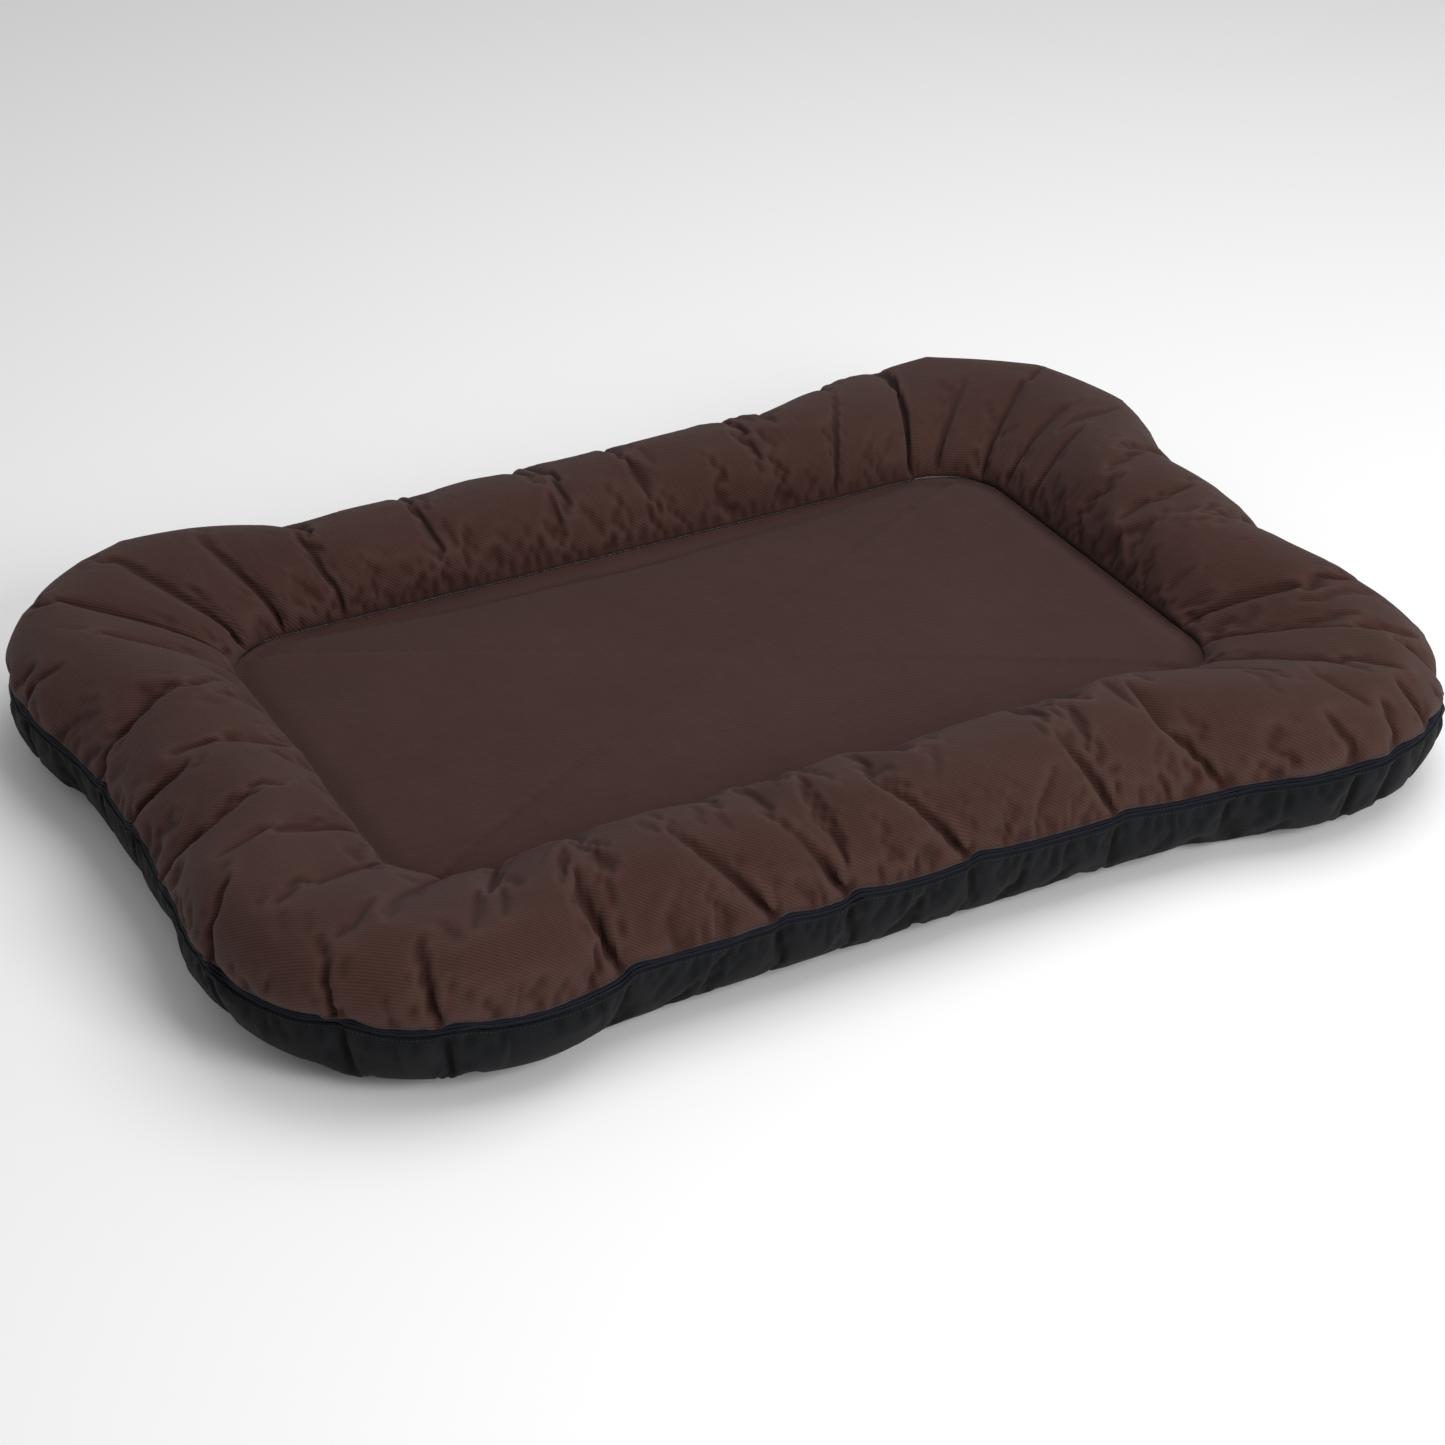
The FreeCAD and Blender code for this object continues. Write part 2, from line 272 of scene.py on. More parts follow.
# puckers along the zip: place on the ring, length up the rim, depth, lean, lift of the zip
tucks = [
    (2.560, 0.075, 0.010, 0.2, 0.001), (2.422, 0.070, 0.010, 0.3, 0.002), (2.335, 0.085, 0.011, 0.35, 0.002),
    (2.172, 0.105, 0.012, 0.3, 0.004), (2.030, 0.105, 0.012, 0.55, 0.004), (1.962, 0.095, 0.011, 0.45, 0.005),
    (1.843, 0.095, 0.012, 0.55, 0.004), (1.696, 0.085, 0.011, 0.35, 0.003), (1.585, 0.075, 0.01, 0.45, 0.001),
    (1.464, 0.060, 0.009, 0.1, 0.001), (1.421, 0.050, 0.008, -0.2, 0.002), (1.369, 0.060, 0.009, 0.1, 0.002),
    (1.292, 0.060, 0.008, 0.0, 0.001), (1.140, 0.070, 0.010, 0.1, 0.003), (1.010, 0.060, 0.011, -0.2, 0.003),
    (0.860, 0.070, 0.010, 0.1, 0.003), (0.720, 0.060, 0.009, 0.2, 0.002), (0.600, 0.060, 0.009, 0.0, 0.001),
    (0.470, 0.070, 0.010, 0.1, 0.001), (0.340, 0.060, 0.009, -0.1, 0.001), (0.190, 0.060, 0.008, 0.1, 0.0),
    (0.070, 0.070, 0.008, -0.1, 0.0), (3.700, 0.060, 0.008, 0.1, 0.0), (3.580, 0.060, 0.008, -0.1, 0.0),
    (3.430, 0.070, 0.009, 0.1, 0.001), (3.290, 0.060, 0.009, 0.0, 0.001), (3.150, 0.060, 0.009, 0.1, 0.002),
    (3.014, 0.070, 0.010, -0.1, 0.002), (2.870, 0.090, 0.014, 0.3, 0.004), (2.790, 0.080, 0.013, -0.2, 0.004),
    (2.690, 0.060, 0.010, 0.1, 0.002),
]

# small puckers between them, in the same terms
dartPlaces = (
    2.62, 2.49, 2.375, 2.28, 2.20, 2.09, 1.985, 1.90, 1.80, 1.745, 1.64, 1.53, 1.33, 1.22, 1.08, 0.94, 0.79,
    0.66, 0.53, 0.28, 3.64, 3.50, 3.36, 3.22, 3.08, 2.94)
darts = [(place, 0.034, 0.0065, 0.25 * (-1) ** k, 0) for k, place in enumerate(dartPlaces)]

# long creases that run out from the panel seam: place on the ring, reach across the rim, depth, lean
pleats = [
    (0.30, 0.55, 0.006, 0.1), (0.44, 0.85, 0.012, -0.05), (0.52, 0.55, 0.007, 0.05), (0.60, 0.60, 0.008, 0.0),
    (0.68, 0.50, 0.006, 0.05), (0.76, 0.45, 0.005, 0.0), (1.18, 0.50, 0.006, 0.0), (1.27, 0.60, 0.008, 0.05),
    (1.36, 0.60, 0.008, 0.0), (1.46, 0.45, 0.006, -0.05), (2.30, 0.50, 0.007, 0.0), (2.40, 0.50, 0.006, 0.05),
    (2.50, 0.48, 0.006, 0.0), (2.60, 0.50, 0.006, 0.0), (3.06, 0.55, 0.007, 0.0), (3.14, 0.75, 0.010, 0.0),
    (3.22, 0.70, 0.010, 0.05), (3.31, 0.60, 0.008, 0.05), (3.42, 0.45, 0.006, 0.0),
]

# how each stretch differs from a perfect ring: place, spread, shift outwards, rise of crest, shift of foot
swells = [
    (3.12, 0.26, 0.012, -0.004, 0.002),
    (2.50, 0.24, -0.002, -0.003, -0.006),
    (2.74, 0.12, 0.004, 0.000, 0.012),
    (2.05, 0.30, 0.002, 0.000, 0.006),
    (1.36, 0.20, 0.018, -0.012, 0.006),
    (1.20, 0.12, 0.000, -0.008, 0.000),
    (0.88, 0.14, 0.000, 0.008, 0.002),
    (0.30, 0.22, 0.000, 0.010, 0.000),
    (3.52, 0.26, 0.000, 0.006, 0.000),
]


def swellAt(at, column):
    # the sum of one column of the swells at each place on the ring
    total = np.zeros(len(at))
    for swell in swells:
        total += swell[column] * np.exp(-(apart(at, swell[0]) / swell[1]) ** 2)
    return total


def zipLift(at):
    # the zip rides up a little at each pucker, with a step on one side
    lift = np.zeros(len(at))
    for place, length, depth, lean, rise in tucks:
        off = apart(at, place)
        step = 0.9 * np.tanh(off / 0.007) * np.exp(-np.abs(off / 0.045))
        lift += rise * (np.exp(-(off / 0.028) ** 2) - step)
    return lift


def resample(points, count):
    # count + 1 points evenly spaced along a line
    gaps = np.linalg.norm(np.diff(points, axis=0), axis=1)
    along = np.concatenate([[0], np.cumsum(gaps)])
    wanted = np.linspace(0, along[-1], count + 1)
    spread = np.stack([np.interp(wanted, along, points[:, k]) for k in range(points.shape[1])], 1)
    return spread, wanted


def coverRows():
    # rows from the panel seam over the rim to the zip, down the black side and in over the floor
    lift = zipLift(ringAt)
    shift, rise, foot = (swellAt(ringAt, column) for column in (2, 3, 4))
    # the zip stays straight where the slider runs
    beyond = np.clip((np.abs(outerLine[:, 0]) - cover["slideEnd"]) / cover["slideEase"], 0, 1)
    shift *= np.where(outerLine[:, 1] > 0, beyond, 1)
    turn = np.linspace(0, math.pi, 60)
    down = np.linspace(0, math.pi / 2, 24)
    rows, flats = [], []
    for k in range(columnCount):
        width = rimWidth[k] + shift[k]
        outer = innerLine[k] + across[k] * width
        hem = hemUpper + lift[k]
        crest = cover["crest"] + rise[k]
        reach = width / 2 * (1 - np.sign(np.cos(turn)) * np.abs(np.cos(turn)) ** cover["fullness"])
        chord = cover["seamHeight"] + (hem - cover["seamHeight"]) * reach / width
        height = chord + (crest - chord) * np.sin(turn) ** cover["fullness"]
        rim, rimAlong = resample(np.stack([reach, height], 1), cover["rimRows"])
        rimPoints = np.column_stack([innerLine[k] + across[k] * rim[:, :1], rim[:, 1]])
        rimFlat = innerLine[k] + across[k] * rimAlong[:, None]
        edge = hemLower + lift[k]
        undercut = cover["undercut"] - foot[k]
        inset = undercut * (1 - np.cos(down))
        side, sideAlong = resample(np.stack([inset, edge * (1 - np.sin(down))], 1), cover["sideRows"])
        sidePoints = np.column_stack([outer - outward[k] * side[:, :1], side[:, 1]])
        sideFlat = outer + outward[k] * (0.03 - sideAlong[:, None])
        inset = np.linspace(undercut, cover["floorReach"], cover["floorRows"] + 1)[1:]
        floorPoints = np.column_stack([outer - outward[k] * inset[:, None], 0 * inset])
        rows.append(np.concatenate([rimPoints, sidePoints, floorPoints]))
        flats.append(np.concatenate([rimFlat, sideFlat, floorPoints[:, :2]]))
    return np.array(rows).transpose(1, 0, 2), np.array(flats).transpose(1, 0, 2)


def awayFrom(rows):
    # direction out of the cushion at every point of the cover's rows
    normal = np.cross(np.roll(rows, -1, 1) - np.roll(rows, 1, 1), np.gradient(rows, axis=0))
    return normal / (np.linalg.norm(normal, axis=2)[..., None] + 1e-12)


def crease(rows):
    # start each pucker and pleat as a shallow fold, which the filling then works into the cloth
    normal = awayFrom(rows)
    rimLast = cover["rimRows"]
    gaps = np.linalg.norm(np.diff(rows, axis=0), axis=2)
    along = np.concatenate([np.zeros((1, columnCount)), np.cumsum(gaps, 0)])
    fromHem = np.abs(along - along[rimLast])
    fromSeam = along / along[rimLast]
    push = np.zeros(rows.shape[:2])
    onRim = (np.arange(len(rows)) <= rimLast)[:, None]
    for place, length, depth, lean, rise in tucks:
        off = apart(ringAt[None, :], place + lean * fromHem * np.where(onRim, 1, cover["leanBelow"]))
        fade = np.clip(1 - fromHem / np.where(onRim, length, cover["puckerBelow"]), 0, 1) ** 1.2
        width = 0.005 + 0.10 * fromHem
        push -= depth * cover["pucker"] * fade * np.exp(-np.abs(off / width) ** 1.5)
    for place, reach, depth, lean in pleats:
        off = apart(ringAt[None, :], place + lean * (fromSeam - 0.3))
        fade = np.clip(1 - fromSeam / reach, 0, 1) ** 0.8 * np.clip(fromSeam / 0.06, 0, 1)
        push -= depth * fade * onRim * np.exp(-np.abs(off / (0.007 + 0.016 * fromSeam)) ** 1.5)
    push[0] = 0
    push[rimLast:rimLast + 2] *= 0.25
    push[rimLast + 1 + cover["sideRows"]:] = 0
    return rows + normal * push[..., None]


def fillCover(piece):
    # cloth simulation: the filling swells the cover, while the two seams keep their length
    rimLast = cover["rimRows"]
    row = readAttribute(piece, "row")
    rest = readPoints(piece)
    hold = piece.vertex_groups.new(name="hold")
    gather = piece.vertex_groups.new(name="gather")
    floorFirst = rimLast + 1 + cover["sideRows"] + 3
    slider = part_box("zip_slider")
    straight = (rest[:, 1] > slider[0].y) & (np.abs(rest[:, 0]) < cover["slideEnd"])
    held = (row == 0) | (row >= floorFirst) | (straight & ((row == rimLast) | (row == rimLast + 1)))
    hold.add([int(i) for i in np.nonzero(held)[0]], 1.0, "REPLACE")
    tight = (row <= 0) | (row == rimLast) | (row == rimLast + 1) | (row > floorFirst)
    gather.add([int(i) for i in np.nonzero(tight)[0]], 1.0, "REPLACE")
    makeActive(piece)
    cloth = piece.modifiers.new("Cloth", "CLOTH")
    cloth.settings.quality = 5
    cloth.settings.mass = cover["mass"]
    cloth.settings.tension_stiffness = cover["tension"]
    cloth.settings.compression_stiffness = cover["compression"]
    cloth.settings.shear_stiffness = cover["shear"]
    cloth.settings.bending_stiffness = cover["bending"]
    cloth.settings.tension_damping = cover["damping"]
    cloth.settings.compression_damping = cover["damping"]
    cloth.settings.air_damping = 2
    cloth.settings.use_pressure = True
    cloth.settings.uniform_pressure_force = cover["pressure"]
    cloth.settings.vertex_group_mass = "hold"
    cloth.settings.vertex_group_shrink = "gather"
    cloth.settings.shrink_min = -cover["slack"]
    cloth.settings.shrink_max = 0.0
    cloth.settings.effector_weights.gravity = 0
    cloth.collision_settings.use_collision = False
    cloth.collision_settings.use_self_collision = False
    scene = bpy.context.scene
    scene.frame_start, scene.frame_end = 1, cover["frames"]
    cloth.point_cache.frame_start, cloth.point_cache.frame_end = 1, cover["frames"]
    for step in range(1, cover["frames"] + 1):
        scene.frame_set(step)
    bpy.ops.object.modifier_apply(modifier=cloth.name)
    points = readPoints(piece)
    points[:, 2] = np.maximum(points[:, 2], 0.0)
    writePoints(piece, points)
    print("cover filled, furthest move %.1f mm" % (np.linalg.norm(points - rest, axis=1).max() * 1000))


def markFolds(piece):
    # how far each point stands proud of its neighbours: ridges above zero, valleys below
    mesh = piece.data
    points = readPoints(piece)
    edges = np.zeros(len(mesh.edges) * 2, np.int32)
    mesh.edges.foreach_get("vertices", edges)
    edges = edges.reshape(-1, 2)
    count = np.bincount(edges.ravel(), minlength=len(points))[:, None]
    smooth = points
    for turn in range(6):
        total = np.zeros_like(points)
        np.add.at(total, edges[:, 0], smooth[edges[:, 1]])
        np.add.at(total, edges[:, 1], smooth[edges[:, 0]])
        smooth = total / count
    normals = np.zeros(len(points) * 3)
    mesh.vertices.foreach_get("normal", normals)
    proud = ((points - smooth) * normals.reshape(-1, 3)).sum(1)
    layer = mesh.attributes.get("fold") or mesh.attributes.new("fold", "FLOAT", "POINT")
    layer.data.foreach_set("value", np.clip(proud / 0.0012, -1, 1).astype(np.float32))


def curveThrough(points, at):
    # values on a smooth curve through the points, which are repeated at their ends by the caller
    k = np.floor(at).astype(int)
    t = (at - k).reshape([-1] + [1] * (points.ndim - 1))
    p0, p1, p2, p3 = (points[k + step] for step in range(4))
    return p1 + 0.5 * t * (p2 - p0 + t * (2 * p0 - 5 * p1 + 4 * p2 - p3 + t * (3 * (p1 - p2) + p3 - p0)))


def finerLoop(line, times):
    # the same closed line with more points
    closed = np.concatenate([line[-1:], line, line[:3]])
    return curveThrough(closed, np.arange(len(line) * times) / times)


def finerRows(rows):
    # the same rows x columns with more of both
    ends = np.concatenate([2 * rows[:1] - rows[1:2], rows, 2 * rows[-1:] - rows[-2:-1], rows[-1:]])
    wanted = np.arange((len(rows) - 1) * cover["finer"] + 1) / cover["finer"]
    more = curveThrough(ends, wanted)
    return finerLoop(more.transpose(1, 0, 2), cover["finerRound"]).transpose(1, 0, 2)


def foldShape(off, width, side):
    # a fold that is steep on one side, with a lip on the other
    steep = np.exp(-np.abs(off) / (width * np.where(off * side > 0, 0.55, 2.2)))
    lip = np.exp(-((off - side * 1.5 * width) / width) ** 2)
    return cover["lip"] * lip - cover["foldDepth"] * steep


def pressFolds(rows, hem, onRim):
    # the filled cloth lies in a sharp fold at each pucker, and in a wedge beside it
    gaps = np.linalg.norm(np.diff(rows, axis=0), axis=2)
    along = np.concatenate([np.zeros((1, rows.shape[1])), np.cumsum(gaps, 0)])
    fromHem = np.abs(along - along[hem])
    push = np.zeros(rows.shape[:2])
    for place, length, depth, lean, rise in tucks + darts:
        off = apart(fineRing[None, :], place + (lean if onRim else cover["leanBelow"] * lean) * fromHem)
        fade = np.clip(1 - fromHem / (length if onRim else cover["foldBelow"]), 0, 1) ** 0.7
        fade = fade * np.clip(fromHem / cover["foldEase"], 0.12, 1)
        side = 1 if lean >= 0 else -1
        push += depth * fade * foldShape(off, 0.0024 + 0.035 * fromHem, -side)
        half = cover["wedgeSpread"] / 2 * fromHem + 0.0006
        tent = half * np.clip(1 - np.abs(off + side * half) / half, 0, 1)
        reach = 0.55 * length if onRim else cover["wedgeBelow"]
        push += cover["wedge"] * tent * np.clip(1 - fromHem / reach, 0, 1) * depth / 0.010
    if onRim:
        fromSeam = along / along[hem]
        for place, reach, depth, lean in pleats:
            off = apart(fineRing[None, :], place + lean * (fromSeam - 0.3))
            fade = np.clip(1 - fromSeam / reach, 0, 1) ** 0.8 * np.clip(fromSeam / 0.05, 0, 1)
            push += depth * fade * foldShape(off, 0.0028 + 0.008 * fromSeam, 1)
    return rows + awayFrom(rows) * push[..., None]


def closeMiddle(piece):
    # one flat face over any hole that the last ring leaves at the middle
    makeActive(piece)
    bpy.ops.object.mode_set(mode="EDIT")
    bpy.ops.mesh.select_mode(type="EDGE")
    bpy.ops.mesh.select_all(action="DESELECT")
    bpy.ops.mesh.select_non_manifold()
    bpy.ops.object.mode_set(mode="OBJECT")
    near = np.abs(readPoints(piece)[:, 0]) < plan["seamHalfLength"] * 0.6
    found = 0
    for edge in piece.data.edges:
        edge.select = bool(edge.select and near[edge.vertices[0]] and near[edge.vertices[1]])
        found += edge.select
    bpy.ops.object.mode_set(mode="EDIT")
    if found:
        bpy.ops.mesh.edge_face_add()
        bpy.ops.mesh.select_all(action="SELECT")
        bpy.ops.mesh.normals_make_consistent(inside=False)
    bpy.ops.object.mode_set(mode="OBJECT")


def thicken(piece, thickness):
    # mark the cloth's folds, then give it its thickness inwards
    markFolds(piece)
    applyModifier(piece, "SOLIDIFY", thickness=thickness, offset=-1.0)
    smoothFaces(piece)
    return piece


def discRows(edge, shares, height):
    # rings from a closed line in to its middle
    return [np.column_stack([edge[:, :2] * share, np.full(len(edge), height(share))]) for share in shares]


def buildCover():
    # fill the whole cover once; the rows it ends up in are what the sewn pieces are made from
    rows, flats = coverRows()
    piece = wrapGrid("filledCover", crease(rows), flats)
    fillCover(piece)
    row, column = readAttribute(piece, "row"), readAttribute(piece, "column")
    grid = np.zeros((row.max() + 1, columnCount, 3))
    grid[row, column % columnCount] = readPoints(piece)
    bpy.data.objects.remove(piece)
    return grid, flats


def buildRimCover(grid, flats):
    last = cover["rimRows"]
    rows = pressFolds(finerRows(grid[:last + 1]), last * cover["finer"], True)
    flat = finerRows(flats[:last + 1])
    return thicken(wrapGrid("rimCover", rows, flat), cover["cloth"]), rows


def buildBaseCover(grid, flats):
    # the black side and the flat underside
    first = cover["rimRows"] + 1
    rows = pressFolds(finerRows(grid[first:]), 0, False)
    rows[..., 2] = np.maximum(rows[..., 2], 0)
    flat = finerRows(flats[first:])
    floor = np.array(discRows(rows[-1], (0.86, 0.7, 0.5, 0.3), lambda share: 0.0))
    piece = wrapGrid("baseCover", np.concatenate([rows, floor]), np.concatenate([flat, floor[..., :2]]))
    closeMiddle(piece)
    return thicken(piece, cover["cloth"]), rows


# the sunken centre
panel = {
    "steps": (150, 90),
    "allowance": 0.006,       # seam allowance turned in under the rim
    "crown": 0.007,           # how far the middle stands above the edge
    "ledge": 0.026,           # loose strip between the seam and the pad at the rear
    "ledgeDrop": 0.009,
    "hollow": 0.0035,         # how deep the seam draws the cloth in
    "ripple": 0.0016,
    "smallRipple": 0.0005,
    "stitchIn": 0.0025,       # from the seam to its row of stitches
    "stitchPitch": 0.0040,
    "stitch": (0.0030, 0.0006),
}


def roundedPoint(u, v, halfX, halfY, radius):
    # a point of the square's edge moved onto the rounded rectangle's edge
    x, y = abs(u) * halfX, abs(v) * halfY
    if x > halfX - radius and y > halfY - radius:
        leg = (y - halfY + radius) if x >= halfX - 1e-9 else (2 * radius - (x - halfX + radius))
        turn = leg / (2 * radius) * math.pi / 2
        x = halfX - radius + radius * math.cos(turn)
        y = halfY - radius + radius * math.sin(turn)
    return math.copysign(x, u), math.copysign(y, v)


def panelHeight(x, y, inside):
    # inside is the distance in from the seam
    if inside < 0:
        return cover["seamHeight"] + inside * 0.8
    swell = panel["crown"] * (1 - math.exp(-inside / 0.07))
    hollow = -panel["hollow"] * math.exp(-((inside - 0.006) / 0.012) ** 2)
    height = cover["seamHeight"] + swell + hollow
    rear = plan["seamHalfWidth"] - y
    along = math.cos(min(abs(x + 0.01) / 0.34, 1.0) * math.pi / 2) ** 0.7
    wide = 0.004 + panel["ledge"] * along + 0.002 * math.sin(x * 31 + 1)
    if y > 0 and along > 0.02:
        drop = panel["ledgeDrop"] * along
        if rear < wide:
            # the strip runs down from the seam to the crease
            height -= drop * (rear / wide) ** 1.5
        else:
            height -= drop * math.exp(-(rear - wide) / 0.012)
    broad = noise.noise(Vector((x * 5, y * 7, 0.3))) * panel["ripple"]
    small = noise.noise(Vector((x * 14, y * 20, 2))) * panel["smallRipple"]
    return height + (broad + small) * min(inside / 0.04, 1)


def buildPanel():
    wide, deep = panel["steps"]
    halfX = plan["seamHalfLength"] + panel["allowance"]
    halfY = plan["seamHalfWidth"] + panel["allowance"]
    radius = plan["seamCorner"] + panel["allowance"]
    rows = np.zeros((deep + 1, wide + 1, 3))
    for j in range(deep + 1):
        for i in range(wide + 1):
            u, v = 2 * i / wide - 1, 2 * j / deep - 1
            u, v = math.copysign(abs(u) ** 0.85, u), math.copysign(abs(v) ** 0.85, v)
            reach = max(abs(u), abs(v), 1e-6)
            x, y = roundedPoint(u / reach, v / reach, halfX, halfY, radius)
            x, y = x * reach, y * reach
            inside = (1 - reach) * (halfX if abs(u) > abs(v) else halfY) - panel["allowance"]
            rows[j, i] = x, y, panelHeight(x, y, inside)
    piece = wrapGrid("lyingPanel", rows, rows[..., :2], closeRows=False)
    applyModifier(piece, "SUBSURF", levels=1, render_levels=1)
    return thicken(piece, cover["cloth"])


# what runs round the cushion with the zip; out is away from the cover, up is from the zip's middle
zipBand = {
    "tape": [(-0.0024, 0.00025), (-0.00155, 0.0007), (-0.00125, 0.0015), (-0.00150, 0.0023),
             (-0.0021, 0.0028), (-0.0021, 0.0043), (-0.0040, 0.0064), (-0.0046, 0.0062), (-0.0027, 0.0040),
             (-0.0025, 0.00025)],
    "coil": [(-0.0027, 0.0005), (-0.0027, 0.0030), (-0.0036, 0.0033), (-0.0044, 0.0029), (-0.0046, 0.0018),
             (-0.0044, 0.0007), (-0.0036, 0.0004)],
    "flush": 0.0010,          # how much less the tape is recessed away from the slider's run
    "runEnd": 0.26,           # half the length of that run, and the length over which the recess eases out
    "runEase": 0.06,
    "tabGap": 0.004,          # half the gap that the end tab hides between the zip's two ends
    "faceWidth": 0.0045,      # the part of the tape that can be seen, from the zip's middle
    "stitchPitch": 0.0040,
    "stitchIn": 0.0022,       # from the hem's edge to its row of stitches
    "stitch": (0.0030, 0.0007),
}


def zipFrame(upper, lower, away):
    # middle line of the zip, and the directions out of the cover and up the band
    middle = (upper + lower) / 2
    along = np.roll(middle, -1, 0) - np.roll(middle, 1, 0)
    along /= np.linalg.norm(along, axis=1)[:, None]
    up = upper - lower
    up -= along * (up * along).sum(1)[:, None]
    up /= np.linalg.norm(up, axis=1)[:, None]
    out = np.cross(along, up)
    out *= np.sign((out * away).sum(1))[:, None]
    return middle, out, up


def sweepBand(name, zipLines, profile, side, gap):
    # a strip of that section all along the zip, except for the stretch under the end tab
    middle, out, up = zipLines
    beyond = (np.abs(middle[:, :1]) - zipBand["runEnd"]) / zipBand["runEase"]
    flush = np.clip(beyond + (middle[:, 1:2] < 0) * 9, 0, 1) * zipBand["flush"]
    rows = []
    for a, b in profile:
        proud = a + flush * (b < zipBand["faceWidth"])
        rows.append(middle + out * proud + up * (b * side))
    rows = np.array(rows)
    run = np.nonzero(~((middle[:, 1] > 0) & (np.abs(middle[:, 0] - gap) < zipBand["tabGap"])))[0]
    start = run[np.argmax(np.diff(np.concatenate([run[-1:] - len(middle), run])) > 1)]
    order = (start + np.arange(len(run))) % len(middle)
    steps = np.linalg.norm(np.diff(middle[order], axis=0), axis=1)
    along = np.concatenate([[0], np.cumsum(steps)])
    section = np.linalg.norm(np.diff(np.array(profile + profile[:1]), axis=0), axis=1)
    aroundSection = np.concatenate([[0], np.cumsum(section)[:-1]])
    flat = np.stack(np.meshgrid(along, aroundSection), 2)
    piece = wrapGrid(name, rows[:, order], flat, closeRows=False, closeColumns=True)
    makeActive(piece)
    bpy.ops.object.mode_set(mode="EDIT")
    bpy.ops.mesh.select_mode(type="EDGE")
    bpy.ops.mesh.select_all(action="DESELECT")
    bpy.ops.mesh.select_non_manifold()
    bpy.ops.mesh.edge_face_add()
    bpy.ops.mesh.select_all(action="SELECT")
    bpy.ops.mesh.normals_make_consistent(inside=False)
    bpy.ops.object.mode_set(mode="OBJECT")
    bpy.ops.object.shade_smooth_by_angle(angle=math.radians(50))
    return piece


def stitchTemplate():
    # one stitch lying along X with its ends dipped into the cloth
    deselect()
    bpy.ops.mesh.primitive_cylinder_add(vertices=6, radius=0.5, depth=1, rotation=(0, math.pi / 2, 0))
    one = bpy.context.object
    bpy.ops.object.transform_apply(location=False, rotation=True, scale=False)
    bpy.ops.object.mode_set(mode="EDIT")
    bpy.ops.mesh.select_all(action="SELECT")
    bpy.ops.mesh.bisect(plane_co=(0.25, 0, 0), plane_no=(1, 0, 0))
    bpy.ops.mesh.select_all(action="SELECT")
    bpy.ops.mesh.bisect(plane_co=(-0.25, 0, 0), plane_no=(1, 0, 0))
    bpy.ops.object.mode_set(mode="OBJECT")
    points = readPoints(one)
    ends = np.abs(points[:, 0]) > 0.4
    points[ends, 1:] *= 0.45
    points[ends, 2] -= 0.5
    faces = [tuple(face.vertices) for face in one.data.polygons]
    bpy.data.objects.remove(one)
    return points, faces


def sewRow(name, places, alongs, ups, length, width):
    # a stitch at every place, lying along the seam
    template, templateFaces = stitchTemplate()
    sides = np.cross(ups, alongs)
    sized = template * (length, width, width)
    points = (places[:, None] + alongs[:, None] * sized[None, :, :1] + sides[:, None] * sized[None, :, 1:2]
              + ups[:, None] * sized[None, :, 2:])
    faces = [tuple(v + k * len(template) for v in face) for k in range(len(places)) for face in templateFaces]
    mesh = bpy.data.meshes.new(name)
    mesh.from_pydata(points.reshape(-1, 3).tolist(), [], faces)
    piece = bpy.data.objects.new(name, mesh)
    bpy.context.scene.collection.objects.link(piece)
    makeActive(piece)
    bpy.ops.object.mode_set(mode="EDIT")
    bpy.ops.mesh.select_all(action="SELECT")
    bpy.ops.mesh.normals_make_consistent(inside=False)
    bpy.ops.object.mode_set(mode="OBJECT")
    bpy.ops.object.shade_smooth()
    return piece


def sewHem(name, edge, inner, out):
    # the row of stitches just inside a hem
    towards = inner - edge
    towards /= np.linalg.norm(towards, axis=1)[:, None]
    line = edge + towards * zipBand["stitchIn"] + out * 0.0001
    closed = np.concatenate([line, line[:1]])
    steps = np.linalg.norm(np.diff(closed, axis=0), axis=1)
    along = np.concatenate([[0], np.cumsum(steps)])
    count = int(along[-1] / zipBand["stitchPitch"])
    wanted = np.linspace(0, along[-1], count, endpoint=False)
    places = np.stack([np.interp(wanted, along, closed[:, k]) for k in range(3)], 1)
    alongs = np.roll(places, -1, 0) - np.roll(places, 1, 0)
    alongs /= np.linalg.norm(alongs, axis=1)[:, None]
    outClosed = np.concatenate([out, out[:1]])
    ups = np.stack([np.interp(wanted, along, outClosed[:, k]) for k in range(3)], 1)
    ups /= np.linalg.norm(ups, axis=1)[:, None]
    return sewRow(name, places, alongs, ups, *zipBand["stitch"])


